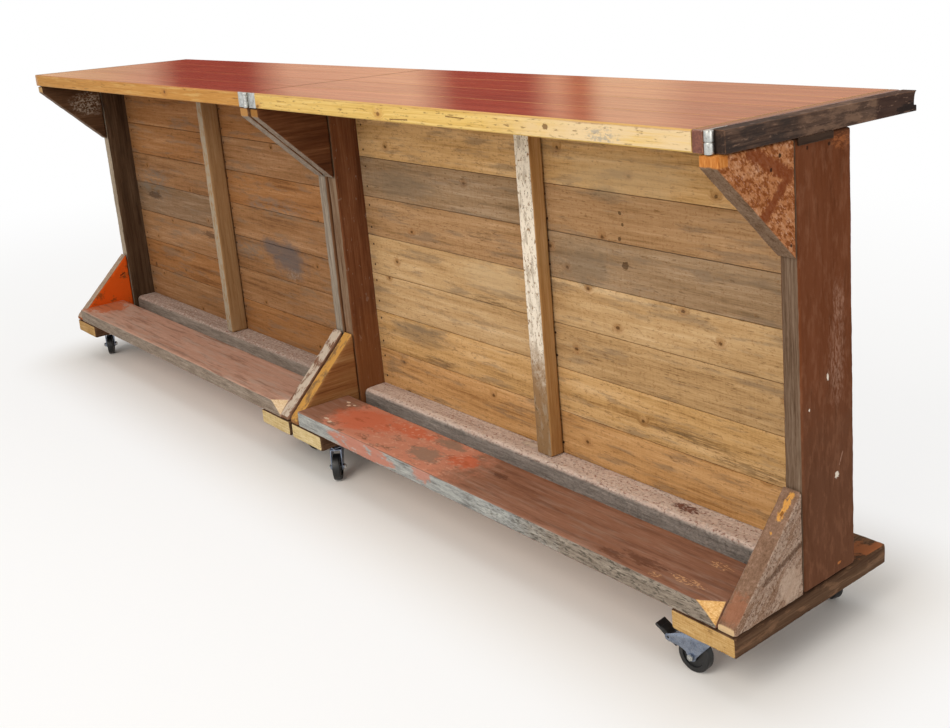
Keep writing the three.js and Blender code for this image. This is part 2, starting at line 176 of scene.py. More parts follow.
ragged = {  # how far noise tears an outline, and how fine that noise is
    "reach": 3.2, "reachPast": 1.6, "reachEdges": 2.4, "edges": 1.6, "edgeSoft": 1 * mm,
    "share": 550, "leastMm": 4, "plainMm": 9, "seed": 4, "detail": 8.0, "rough": 0.74,
    "patchDetail": 7.0, "patchRough": 0.66}


def whereMask(tree, coords, normal, spec, box, patternCoords):
    # a factor from 0 to 1
    if "any" in spec:
        whole = 0.0
        for part in spec["any"]:
            factor = whereMask(tree, coords, normal, part, box, patternCoords)
            whole = addNode(tree, "Math", [factor, whole], operation="MAXIMUM")
        return whole
    if "mottle" in spec:
        value = mottle(tree, patternCoords, spec["mottle"], spec["seed"], ragged["patchDetail"],
                       ragged["patchRough"])
        limits = (spec["level"] - spec["soft"], spec["level"] + spec["soft"])
    elif "facing" in spec:
        value = addNode(tree, "VectorMath", [normal, spec["facing"]], "Value", operation="DOT_PRODUCT")
        limits = spec["turned"]
    else:
        tearMm = spec.get("tearMm", [ragged["plainMm"]] * 3)
        torn = ragged["reach"] * spec.get("torn", 0.0)
        if "near" in spec:  # in radii
            tearMm = [max(ragged["leastMm"], ragged["share"] * s) for s in spec["size"]]
            away = addNode(tree, "VectorMath", [coords, spec["near"]], operation="SUBTRACT")
            away = addNode(tree, "VectorMath", [away, spec["size"]], operation="DIVIDE")
            far = addNode(tree, "VectorMath", [away], "Value", operation="LENGTH")
            limits = (1 + torn / 2 + spec["soft"], 1 + torn / 2 - spec["soft"])
        elif "stroke" in spec:  # in line widths
            start, end = (Vector(point) for point in spec["stroke"])
            run = end - start
            away = addNode(tree, "VectorMath", [coords, start], operation="SUBTRACT")
            along = run / run.length_squared
            share = addNode(tree, "VectorMath", [away, along], "Value", operation="DOT_PRODUCT")
            share = addNode(tree, "Math", [share, 1.0], operation="MULTIPLY", use_clamp=True)
            foot = addNode(tree, "VectorMath", {0: run, "Scale": share}, operation="SCALE")
            far = addNode(tree, "VectorMath", [away, foot], "Value", operation="DISTANCE")
            far = addNode(tree, "Math", [far, spec["wide"]], operation="DIVIDE")
            limits = (1 + torn / 2 + spec["soft"], 1 + torn / 2 - spec["soft"])
        elif "past" in spec:
            torn = ragged["reachPast"] * spec["torn"]
            far = addNode(tree, "SeparateXYZ", [coords], spec["past"])
            limits = [limit + torn / 2 for limit in spec["between"]]
        else:
            middle, half = (box[0] + box[1]) / 2, (box[1] - box[0]) / 2
            away = addNode(tree, "VectorMath", [coords, middle], operation="SUBTRACT")
            away = addNode(tree, "VectorMath", [away], operation="ABSOLUTE")
            depth = addNode(tree, "VectorMath", [half, away], operation="SUBTRACT")
            a, b, c = addNode(tree, "SeparateXYZ", [depth], None).outputs
            least = addNode(tree, "Math", [a, b], operation="MINIMUM")
            most = addNode(tree, "Math", [a, b], operation="MAXIMUM")
            most = addNode(tree, "Math", [most, c], operation="MINIMUM")
            far = addNode(tree, "Math", [least, most], operation="MAXIMUM")  # the second nearest face
            torn = spec["edges"] * mm * ragged["reachEdges"]
            wide = spec["edges"] * mm * ragged["edges"]
            limits = (wide + ragged["edgeSoft"], wide - ragged["edgeSoft"])
        tear = mottle(tree, coords, tearMm, ragged["seed"], ragged["detail"], ragged["rough"])
        value = addNode(tree, "Math", [tear, torn, far], operation="MULTIPLY_ADD")
    return addNode(tree, "MapRange", [value, *limits], interpolation_type="SMOOTHSTEP")


boardDraw = {"bay": 31.0, "apart": 9.0}  # rows between two bays, and metres between two boards in the tree


def boardCoords(tree, coords, boards):
    # each board is cut from another place in the tree: shifted coordinates, and a random number per board
    parts = addNode(tree, "SeparateXYZ", [coords], None)
    row = addNode(tree, "Math", [parts.outputs[boards["across"]], boards["start"]], operation="SUBTRACT")
    row = addNode(tree, "Math", [row, boards["pitch"]], operation="DIVIDE")
    row = addNode(tree, "Math", [row], operation="FLOOR")
    if "split" in boards:
        bay = addNode(tree, "Math", [parts.outputs[0], boards["split"]], operation="GREATER_THAN")
        row = addNode(tree, "Math", [bay, boardDraw["bay"], row], operation="MULTIPLY_ADD")
    draw = addNode(tree, "TexWhiteNoise", {"W": row}, None, noise_dimensions="1D")
    far = {0: draw.outputs["Color"], "Scale": boardDraw["apart"]}
    shift = addNode(tree, "VectorMath", far, operation="SCALE")
    return addNode(tree, "VectorMath", [coords, shift], operation="ADD"), draw.outputs["Value"]


varnishWear = {
    "upper": (0.7, 0.9), "streakMm": (420, 5), "streaks": (0.42, 0.66),
    # bare up to one distance and whole from another, and how much is left where it is bare
    "joint": (1 * mm, 3 * mm, 0.35), "fold": (3 * mm, 9 * mm, 0.15)}


def varnishCover(tree, coords, grainCoords, normal, look):
    # varnish lies on the upper face only, thinner along the grain and rubbed off at the joints and the fold
    boards = look["boards"]
    upper = addNode(tree, "VectorMath", [normal, (0, 0, 1)], "Value", operation="DOT_PRODUCT")
    cover = addNode(tree, "MapRange", [upper, *varnishWear["upper"], 0.0, look["coat"]])
    streaks = mottle(tree, grainCoords, grainSize(look["along"], *varnishWear["streakMm"]), 5, 5.0, 0.68)
    thin = addNode(tree, "MapRange", [streaks, *varnishWear["streaks"], 1.0, look["thin"]])
    cover = addNode(tree, "Math", [cover, thin], operation="MULTIPLY")
    parts = addNode(tree, "SeparateXYZ", [coords], None)
    place = addNode(tree, "Math", [parts.outputs[boards["across"]], boards["start"]], operation="SUBTRACT")
    toJoint = addNode(tree, "Math", [place, boards["pitch"] / 2], operation="PINGPONG")
    toFold = addNode(tree, "Math", [parts.outputs[look["along"]]], operation="ABSOLUTE")
    for apart, (bare, whole, left) in ((toJoint, varnishWear["joint"]), (toFold, varnishWear["fold"])):
        kept = addNode(tree, "MapRange", [apart, bare, whole, left])
        cover = addNode(tree, "Math", [cover, kept], operation="MULTIPLY")
    return cover


knotShape = {  # in knot radii, but for the size of its wobble and how far the grain steps aside
    "long": 1.35, "wobbleMm": (9, 9, 9), "wobble": 1.8, "missing": 40.0, "bend": 20 * mm,
    "halo": (4.6, 1.6), "haloShare": 0.5, "core": (2.0, 1.4), "coreShare": 0.8}


def knotMasks(tree, coords, look):
    # distance to the nearest knot in knot radii, drawn on the plane of the board's face
    knots = look["knots"]
    parts = addNode(tree, "SeparateXYZ", [coords], None)
    flat = addNode(tree, "CombineXYZ", [parts.outputs[look["along"]], parts.outputs[knots["across"]]])
    longMm, wideMm = knots["apart"]
    cells = addNode(tree, "VectorMath", [flat, (longMm * mm, wideMm * mm, 1)], operation="DIVIDE")
    nearest = addNode(tree, "TexVoronoi", {"Vector": cells, "Scale": 1.0}, None, voronoi_dimensions="2D")
    away = addNode(tree, "VectorMath", [cells, nearest.outputs["Position"]], operation="SUBTRACT")
    radii = (longMm / (knots["radius"] * knotShape["long"]), wideMm / knots["radius"], 0)
    away = addNode(tree, "VectorMath", [away, radii], operation="MULTIPLY")
    far = addNode(tree, "VectorMath", [away], "Value", operation="LENGTH")
    wobble = mottle(tree, coords, knotShape["wobbleMm"], 11, 5.0, 0.7)
    far = addNode(tree, "Math", [wobble, knotShape["wobble"], far], operation="MULTIPLY_ADD")
    chosen = addNode(tree, "SeparateColor", [nearest.outputs["Color"]])
    missing = addNode(tree, "Math", [chosen, knots["share"]], operation="GREATER_THAN")
    far = addNode(tree, "Math", [missing, knotShape["missing"], far], operation="MULTIPLY_ADD")
    return [addNode(tree, "MapRange", [far, *knotShape[ring]], interpolation_type="SMOOTHSTEP")
            for ring in ("halo", "core")]


plainWood = {  # what a look needn't say; grain is by length and width in mm, and weight
    "grain": [(560, 30, 0.40), (260, 6, 0.34), (60, 1.8, 0.26)], "range": (0.36, 0.64), "seed": 0,
    "rough": 0.72, "bump": 0.5, "deep": 1.2, "specular": 0.06}


def woodTone(tree, coords, look, draw=None):
    # bare wood: broad streaks, grain lines and fibres along the board, bent round the knots
    look = dict(plainWood, **look)
    knots = look.get("knots")
    if knots:
        halo, core = knotMasks(tree, coords, look)
        aside = [knotShape["bend"] if axis == knots["across"] else 0.0 for axis in "XYZ"]
        bent = addNode(tree, "VectorMath", {0: aside, "Scale": halo}, operation="SCALE")
        coords = addNode(tree, "VectorMath", [coords, bent], operation="ADD")
    tone = 0.0
    for index, (longMm, wideMm, weight) in enumerate(look["grain"]):
        pattern = mottle(tree, coords, grainSize(look["along"], longMm, wideMm), look["seed"] + index)
        tone = addNode(tree, "Math", [pattern, weight, tone], operation="MULTIPLY_ADD")
    low, high = look["range"]
    if draw is not None:
        vary = look["boards"]["vary"]
        tone = addNode(tree, "Math", [draw, vary, tone], operation="MULTIPLY_ADD")
        low, high = low + vary / 2, high + vary / 2
    tones = look["tones"].split()
    ramp = addNode(tree, "ValToRGB", [tone], None)
    step = (high - low) / (len(tones) - 1)
    fillRamp(ramp, [(low + step * index, color) for index, color in enumerate(tones)])
    color = ramp.outputs[0]
    if knots:
        for ring, mask in (("halo", halo), ("core", core)):
            share = addNode(tree, "Math", [mask, knotShape[ring + "Share"]], operation="MULTIPLY")
            color = addNode(tree, "Mix", {0: share, 6: color, 7: linear(knots[ring])}, 2, data_type="RGBA")
    return color, tone


def timberMaterial(name, look, box=None):
    # wood under its layers of dirt, paint and wear; roughness and bump follow the grain and the layers
    look = dict(plainWood, **look)
    material, tree, shader, place = newMaterial(name)
    coords, normal = place["Object"], place["Normal"]
    grainCoords, draw = boardCoords(tree, coords, look["boards"]) if "boards" in look else (coords, None)
    if "slope" in look:  # grain along the slanted edge of a corbel or brace
        turn = (math.radians(look["slope"]), 0, 0)
        grainCoords = addNode(tree, "Mapping", {"Vector": coords, "Rotation": turn})
    color, tone = woodTone(tree, grainCoords, look, draw)
    rough = look["rough"]
    roughness = addNode(tree, "MapRange", [tone, 0.3, 0.7, rough + 0.1, rough - 0.1])
    height = tone
    for coat in look["layers"]:
        mask = coat["amount"]
        for spec in coat["where"]:
            factor = whereMask(tree, coords, normal, spec, box, grainCoords)
            mask = addNode(tree, "Math", [factor, mask], operation="MULTIPLY")
        over = coat["over"]
        over = linear(over) if isinstance(over, str) else woodTone(tree, coords, over)[0]
        color = addNode(tree, "Mix", {0: mask, 6: color, 7: over}, 2, data_type="RGBA")
        if "proud" in coat:
            height = addNode(tree, "Math", [mask, coat["proud"], height], operation="MULTIPLY_ADD")
        if "rough" in coat:
            change = coat["rough"] - rough
            roughness = addNode(tree, "Math", [mask, change, roughness], operation="MULTIPLY_ADD")
    bump = addNode(tree, "Bump", {"Height": height, "Strength": look["bump"], "Distance": look["deep"] * mm})
    setInputs(tree, shader, {"Base Color": color, "Roughness": roughness, "Normal": bump,
                             "Specular IOR Level": look["specular"]})
    if "coat" in look:
        cover = varnishCover(tree, coords, grainCoords, normal, look) if "thin" in look else look["coat"]
        setInputs(tree, shader, {"Coat Weight": cover, "Coat Roughness": look["coatRough"],
                                 "Coat Normal": bump})
    return material


# Helpers for modelling

def deselect():
    if bpy.context.object and bpy.context.object.mode != "OBJECT":
        bpy.ops.object.mode_set(mode="OBJECT")
    bpy.ops.object.select_all(action="DESELECT")


def makeActive(piece):
    deselect()
    piece.select_set(True)
    bpy.context.view_layer.objects.active = piece


def addModifier(piece, name, kind, **settings):
    modifier = piece.modifiers.new(name, kind)
    for key, value in settings.items():
        setattr(modifier, key, value)


def applyModifiers(piece):
    makeActive(piece)
    for modifier in list(piece.modifiers):
        bpy.ops.object.modifier_apply(modifier=modifier.name)


def selectWhere(piece, kind, test):
    # in edit mode: selects the edges or faces that pass the test, and nothing else
    bpy.ops.mesh.select_mode(type=kind)
    mesh = bmesh.from_edit_mesh(piece.data)
    bpy.ops.mesh.select_all(action="DESELECT")
    for element in mesh.edges if kind == "EDGE" else mesh.faces:
        element.select_set(test(element))
    mesh.select_flush_mode()
    bmesh.update_edit_mesh(piece.data)


def applyPlace(piece):
    makeActive(piece)
    bpy.ops.object.transform_apply(location=True, rotation=True, scale=True)


def block(low, high):
    deselect()
    bpy.ops.mesh.primitive_cube_add(size=1, location=(Vector(low) + Vector(high)) / 2)
    piece = bpy.context.object
    piece.scale = Vector(high) - Vector(low)
    applyPlace(piece)
    return piece


def joinPieces(pieces, name):
    deselect()
    for piece in pieces:
        piece.select_set(True)
    bpy.context.view_layer.objects.active = pieces[0]
    bpy.ops.object.join()
    whole = bpy.context.object
    whole.name = name
    whole.data.name = name
    return whole


def copyOf(piece, name):
    twin = bpy.data.objects.new(name, piece.data.copy())
    bpy.context.scene.collection.objects.link(twin)
    return twin


def nodeCopy(node, name):
    # a copy of a solid, its loose triangles merged into whole faces
    piece = copyOf(nodes[node], name)
    makeActive(piece)
    bpy.ops.object.mode_set(mode="EDIT")
    bpy.ops.mesh.select_all(action="SELECT")
    bpy.ops.mesh.remove_doubles(threshold=0.01 * mm)
    bpy.ops.mesh.dissolve_limited(angle_limit=math.radians(0.5))
    bpy.ops.object.mode_set(mode="OBJECT")
    return piece


def shadeSmooth(degrees):
    bpy.ops.object.shade_smooth_by_angle(angle=math.radians(degrees))


def setOut(model, places, name, body):
    # copies of one small piece, each at its place and turn, as one piece that rides on a body
    copies = []
    for location, turn in places:
        twin = copyOf(model, name)
        twin.location = location
        twin.rotation_euler = turn
        applyPlace(twin)
        copies.append(twin)
    whole = joinPieces(copies, name)
    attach(whole, body)


def standFor(piece, node, material):
    piece.data.materials.clear()
    piece.data.materials.append(material)
    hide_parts(node)
    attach(piece, bodyOf[node])


def dress(node, material):
    slots = nodes[node].data.materials
    slots.clear()
    slots.append(material)


print("helpers ready")


# Tops: stained boards under gloss varnish, the front board bare along its edge

topLook = {
    "along": "X", "tones": "#6a2a22 #8c3d32 #a14c3d #bd6d52", "rough": 0.34, "bump": 0.22, "deep": 0.8,
    "grain": [(700, 26, 0.46), (320, 5, 0.34), (80, 1.6, 0.2)], "range": (0.35, 0.65),
    "boards": {"across": "Y", "start": -0.291, "pitch": 0.148, "vary": 0.1}, "coat": 1.0, "coatRough": 0.13,
    "thin": 0.6, "specular": 0.12,
    "layers": [
        layer("#5a211b", 0.45, patches((460, 70, 70), 0.58)),
        layer("#c88a62", 0.5, patches((260, 9, 9), 0.61, 0.05, 3)),
        layer("#2e130e", 0.85, spot((0, 0, 1.1), (0.006, 0.4, 0.05), 0.1))]}
frontFace = facing((0, -1, 0))
bareSides = facing((0, 0, 1), (0.9, 0.6))  # all but the upper face
fasciaGrain = [(460, 9, 0.42), (240, 3, 0.34), (60, 1.4, 0.24)]
fasciaLooks = {
    "right": {
        "along": "X", "tones": "#b08c46 #d2af62 #dec078 #e8d098", "range": (0.34, 0.66), "seed": 2,
        "grain": fasciaGrain,
        "knots": {
            "across": "Z", "apart": (560, 42), "radius": 6, "share": 0.3, "halo": "#b98347",
            "core": "#6d4420"}},
    "left": {
        "along": "X", "tones": "#92632e #b5813e #c38f4b #d1a566", "range": (0.34, 0.66), "seed": 6,
        "grain": fasciaGrain,
        "knots": {
            "across": "Z", "apart": (620, 42), "radius": 6, "share": 0.3, "halo": "#9a6434",
            "core": "#5c3818"}}}
fasciaMarks = {
    "right": [
        layer("#e0cba8", 0.8, frontFace, past("X", 0.95, 1.4, 0.3), patches((200, 16, 16), 0.38, 0.14)),
        layer("#7c5a34", 0.75, frontFace, patches((34, 8, 6), 0.6, 0.04, 7)),
        layer("#858a90", 0.55, frontFace, spot((1.41, -0.291, 1.075), (0.04, 0.02, 0.014), 0.9, 0.3),
            patches((12, 8, 6), 0.5, 0.06, 4)),
        layer("#6d4a26", 0.8, frontFace,
            anyOf(stroke((0.7, -0.291, 1.066), (0.77, -0.291, 1.068), 0.0016),
                stroke((0.92, -0.291, 1.084), (0.985, -0.291, 1.083), 0.0014),
                spot((1.25, -0.291, 1.082), (0.009, 0.02, 0.006), 0.5))),
        layer("#8a4a36", 0.5, frontFace, past("Z", 1.094, 1.098, 0.006))],
    "left": [
        layer("#6a451f", 0.65, frontFace, patches((70, 8, 8), 0.64, 0.04, 8)),
        layer("#d8b676", 0.5, frontFace, patches((180, 14, 14), 0.58, 0.08, 9))]}
for side in ("right", "left"):
    bareFront = layer(fasciaLooks[side], 1.0, bareSides, rough=0.62)
    look = dict(topLook, layers=topLook["layers"] + [bareFront] + fasciaMarks[side])
    name = side + "_top_boards"
    # varnished stained pine: deep red-brown, mirror-like at a low angle
    dress(name, timberMaterial("Varnished stained pine " + side, look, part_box(name)))

darkLooks = {
    "right_end_strip": {
        "along": "Y", "tones": "#3c1a12 #5a2c20 #70402f #8a5440", "rough": 0.38, "coat": 0.8,
        "coatRough": 0.14, "bump": 0.2,
        "layers": [layer("#b08064", 0.6, edges(3), rough=0.6)]},
    "left_end_strip": {
        "along": "Y", "tones": "#4a2a18 #6a4228 #7d5233 #8f6340", "rough": 0.45, "coat": 0.5,
        "coatRough": 0.2, "bump": 0.25,
        "layers": [layer(fasciaLooks["left"], 0.9, frontFace, rough=0.62)]},
    "end_rail": {
        "along": "Y", "tones": "#2a201c #43332b #57443a #6e594c", "rough": 0.58, "bump": 0.45,
        "grain": [(300, 14, 0.42), (160, 4, 0.34), (50, 1.6, 0.24)],
        "layers": [
            layer("#2b2625", 0.75, past("Y", -0.07, -0.11, 0.09), patches((30, 70, 20), 0.46, 0.09)),
            layer("#7d6352", 0.7, past("Y", -0.09, -0.04, 0.09), patches((30, 60, 18), 0.5, 0.08, 6)),
            layer("#33211c", 0.85, past("Y", 0.155, 0.175, 0.05)),
            # a near-black patch across the top of the rear end
            layer("#1c1412", 0.8, spot((1.7, 0.285, 1.066), (0.04, 0.05, 0.014), 0.6)),
            layer("#8d7262", 0.5, patches((12, 26, 5), 0.62, 0.04, 8)),
            layer("#84614a", 0.4, edges(2.4), rough=0.72)]},
    "rail_packing": {
        "along": "Y", "tones": "#1d1512 #2c211b #3a2c24 #4a3a30", "rough": 0.75, "bump": 0.4,
        "layers": [layer("#6c5444", 0.5, edges(2))]}}
for name, look in darkLooks.items():
    # oiled hardwood gone dark: satin where it is handled, pale where the corners have worn
    dress(name, timberMaterial("Dark hardwood " + name.replace("_", " "), look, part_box(name)))
print("tops dressed")


# End panels, footrests and sills: reclaimed joists, each with what its earlier use left on it

greyEdge = {
    "along": "Z", "tones": "#4c3b2f #6c5747 #82705f #9a8877",
    "grain": [(260, 16, 0.36), (120, 4, 0.36), (30, 1.6, 0.28)]}
cornerEdge = dict(greyEdge, along="Y", tones="#4c3c2e #6a5645 #7f6c5b #978473")
splitCorner = {
    "along": "Z", "tones": "#a3602a #bd7636 #c98645 #d69a5c", "grain": [(40, 6, 0.5), (16, 2, 0.5)]}
slantUnder = facing((0, -0.72, -0.69))
slantOver = facing((0, -0.71, 0.71))
endFace = (0, 1.695, 0.02)  # axis, level and depth of the marks on it
joistLooks = {
    "right_outer_post": {
        "along": "Z", "tones": "#57301c #653820 #6c3e26 #7c4e36", "bump": 0.35, "range": (0.32, 0.68),
        "grain": [(420, 60, 0.5), (160, 22, 0.3), (40, 5, 0.2)],
        "layers": [
            layer("#5c4030", 0.6, past("Z", 0.66, 0.36, 0.2)),
            layer("#8a5f48", 0.3, patches((26, 12, 40), 0.56, 0.08, 5)),
            layer("#47260f", 0.35, patches((20, 14, 90), 0.6, 0.08, 4)),
            layer("#2c1a10", 0.85,
                anyOf(spot((1.695, 0.02, 1.034), (0.01, 0.004, 0.004), 0.3),
                    spot((1.695, -0.046, 1.036), (0.01, 0.003, 0.004), 0.3))),
            layer("#c09a86", 0.34,
                anyOf(spot((1.695, 0.044, 0.71), (0.03, 0.016, 0.05), 1.0, 0.5),
                    spot((1.695, 0.034, 0.6), (0.03, 0.022, 0.07), 1.0, 0.5)),
                patches((7, 5, 14), 0.5, 0.1, 3)),
            layer("#e6ded2", 0.9,
                spots(endFace, 0.8, 0.1, (0.005, 0.58, 0.003, 0.007), (0.031, 0.366, 0.006, 0.007),
                    (-0.054, 0.529, 0.002, 0.003)),
                proud=0.4),
            layer("#a98674", 0.7, stroke((1.695, 0.034, 0.375), (1.695, 0.05, 0.41), 0.0016, 0.8)),
            layer("#a9683f", 0.55, spot((1.695, 0.058, 1.038), (0.02, 0.03, 0.016), 1.0, 0.4),
                patches((6, 12, 5), 0.5, 0.06, 2)),
            layer("#b5733f", 0.8, spot((1.695, 0.034, 0.171), (0.02, 0.006, 0.003), 0.8)),
            layer(dict(greyEdge, tones="#45362b #625041 #776657 #8d7d6d"), 0.92, frontFace),
            # a darker band across the top of the post, just under the rail
            layer("#3a2a20", 0.5, past("Z", 1.04, 1.056))]},
    "right_outer_corbel": {
        "along": "Y", "slope": 45, "tones": "#925a34 #a96f47 #b47e56 #bf9070", "bump": 0.7,
        "grain": [(60, 20, 0.5), (20, 6, 0.5)],
        "layers": [
            layer("#7c421c", 0.88, patches((7, 11, 7), 0.515, 0.035)),
            layer("#6b3116", 0.7, patches((5, 6, 5), 0.6, 0.04, 6)),
            layer("#d3ae97", 0.5, patches((4, 12, 3), 0.6, 0.04, 8)),
            layer("#74391b", 0.85,
                anyOf(stroke((1.695, -0.203, 1.048), (1.695, -0.099, 0.994), 0.013, 1.2, 0.3),
                    stroke((1.695, -0.099, 0.994), (1.695, -0.178, 0.92), 0.011, 1.2, 0.3)),
                rough=0.55),
            layer("#2a170d", 0.9,
                spots(endFace, 0.4, 0.1, (-0.125, 1.034, 0.004, 0.004), (-0.15, 1.012, 0.0035, 0.004),
                    (-0.098, 0.863, 0.003, 0.003), (-0.188, 0.913, 0.003, 0.003)),
                proud=-0.8),
            layer(cornerEdge, 0.95, slantUnder),
            layer(cornerEdge, 0.95, frontFace),
            layer(splitCorner, 0.92, past("Y", -0.262, -0.266, 0.006, (9, 9, 9)),
                past("Z", 1.034, 1.038, 0.006, (9, 9, 9))),
            layer("#c09274", 0.4, edges(2))]},
    "right_outer_brace": {
        "along": "Z", "slope": 45, "tones": "#6a4c3a #866a57 #957a68 #a68c7b", "bump": 0.9,
        "grain": [(150, 22, 0.4), (60, 6, 0.35), (20, 2, 0.25)],
        "layers": [
            layer("#b5a193", 0.75, patches((20, 26, 130), 0.48, 0.05, 2),
                patches((6, 6, 7), 0.46, 0.07, 7), proud=0.8),
            layer("#5c3d2a", 0.75, patches((4, 4, 6), 0.56, 0.05, 4)),
            layer("#cdbbab", 0.6, patches((3, 3, 4), 0.6, 0.05, 9), proud=0.5),
            layer("#c2ab9a", 0.6, spot((1.695, -0.125, 0.19), (0.03, 0.035, 0.035), 0.9, 0.3)),
            layer("#503423", 0.7, stroke((1.695, -0.085, 0.262), (1.695, -0.2, 0.222), 0.006, 1.4, 0.4)),
            layer(dict(greyEdge, along="Y", tones="#614838 #7f6350 #917462 #a68b7a"), 0.95, slantOver),
            layer("#dca254", 0.95, slantOver,
                anyOf(stroke((1.676, -0.094, 0.361), (1.674, -0.128, 0.327), 0.007, 1.3, 0.3),
                    spot((1.67, -0.152, 0.303), (0.004, 0.004, 0.004), 0.9)),
                patches((4, 12, 12), 0.44, 0.06, 3)),
            layer("#7c4a22", 0.8, slantOver, spot((1.675, -0.122, 0.333), (0.004, 0.006, 0.006), 0.8)),
            layer("#a0694f", 0.6, slantOver, spot((1.677, -0.265, 0.19), (0.03, 0.03, 0.03), 0.9, 0.3)),
            layer("#d9bd94", 0.85, frontFace)]},
    "left_outer_post": {
        "along": "Z", "tones": "#33241a #463426 #554232 #655241", "bump": 0.6,
        "layers": [
            layer(dict(greyEdge, tones="#756859 #9a8d7c #b3a796 #c8beb0"), 0.9, frontFace),
            layer("#2c1d14", 0.6, patches((30, 18, 200), 0.6, 0.07))]},
    "left_outer_corbel": {
        "along": "Y", "tones": "#2f2018 #473222 #5a4230 #6d5440", "bump": 0.6,
        "layers": [
            layer("#b9afa3", 0.75, spot((-1.648, -0.135, 0.975), (0.02, 0.055, 0.04), 0.6, 0.35),
                patches((8, 8, 5), 0.52, 0.06), proud=0.5),
            layer("#c3a273", 0.85, frontFace),
            layer(dict(greyEdge, along="Y"), 0.85, slantUnder)]},
    "left_outer_brace": {
        "along": "Y", "tones": "#6a3418 #8a4a22 #9c5a2c #ae6c3c", "bump": 0.5,
        "layers": [
            layer("#dc5a1a", 0.94, facing((1, 0, 0)), patches((60, 50, 50), 0.4, 0.05), rough=0.5),
            layer("#4a2412", 0.8, stroke((-1.648, -0.1, 0.3), (-1.648, -0.115, 0.292), 0.003)),
            layer(dict(greyEdge, along="Y", tones="#7a6a5a #9c8c7c #b3a494 #c6b9aa"), 0.85, slantOver)]},
    "right_inner_post": {
        "along": "Z", "tones": "#472817 #613a24 #734a31 #885f46", "bump": 0.6,
        "layers": [
            layer("#9c8a7c", 0.45, patches((8, 12, 30), 0.64, 0.04)),
            layer(dict(greyEdge, tones="#4c3a2c #6d5643 #83705d #9b8875"), 0.9, frontFace),
            layer("#8a5a34", 0.45, past("Z", 0.5, 0.25, 0.3))]},
    "right_inner_corbel": {
        "along": "Y", "tones": "#3a2216 #55331f #65412a #7a543a", "bump": 0.6,
        "layers": [
            layer(dict(greyEdge, along="Y", tones="#5c5045 #7d7063 #95897c #aea397"), 0.9, slantUnder),
            layer("#a8793f", 0.7, frontFace)]},
    "right_inner_brace": {
        "along": "Y", "tones": "#6a4428 #8a5c38 #987048 #aa845c", "bump": 0.6,
        "layers": [
            layer("#cb9a50", 0.85, slantOver),
            layer("#6f5a48", 0.75, slantOver, patches((26, 40, 40), 0.54, 0.06))]},
    "left_inner_post": {
        "along": "Z", "tones": "#4a3020 #66452e #77573f #8c6d55", "bump": 0.6,
        "layers": [
            layer(dict(greyEdge, tones="#5f564c #80776c #989085 #b0a89d"), 0.9, frontFace),
            layer("#3a261a", 0.5, patches((30, 18, 200), 0.6, 0.07))]},
    "left_inner_corbel": {
        "along": "Y", "tones": "#4a3020 #66452e #77573f #8c6d55", "bump": 0.6,
        "layers": [
            layer(dict(greyEdge, along="Y", tones="#625950 #857b70 #9c9388 #b5ada2"), 0.9, slantUnder),
            layer("#b98a52", 0.8, frontFace)]},
    "left_inner_brace": {
        "along": "Y", "tones": "#5a3c2a #755240 #866552 #9a7b69", "bump": 0.6,
        "layers": [layer("#cfc4b6", 0.8, slantOver, patches((20, 34, 34), 0.46, 0.06))]}}
skidLook = {
    "along": "Y", "tones": "#33241a #4a3527 #5a4332 #6e5643", "bump": 0.6,
    "layers": [
        layer("#80614a", 0.6, patches((30, 60, 16), 0.57, 0.06)),
        layer("#a5643e", 0.75, facing((0, 0, 1)), past("Y", 0.09, 0.11), patches((40, 50, 40), 0.47, 0.06)),
        layer("#a68f7c", 0.5, edges(3))]}
skidEnds = {
    "right_outer_skid": "#94703e #b8935c #c6a570 #d6ba8c",
    "right_inner_skid": "#a98c58 #cbb684 #d8c69a #e4d6b2",
    "left_inner_skid": "#a4885a #c3ac7a #d1bd90 #decda8",
    "left_outer_skid": "#8c6c3e #ad8852 #bb9866 #cbac80"}
for name, ends in skidEnds.items():
    # end grain from a fresh cut shows paler than the old faces
    sawn = {"along": "X", "tones": ends, "grain": [(70, 5, 0.45), (30, 2.2, 0.35), (3, 12, 0.2)]}
    joistLooks[name] = dict(skidLook, layers=skidLook["layers"] + [
        layer(sawn, 0.97, frontFace),
        layer("#6d4c2c", 0.6, frontFace, patches((26, 12, 12), 0.64, 0.04))])

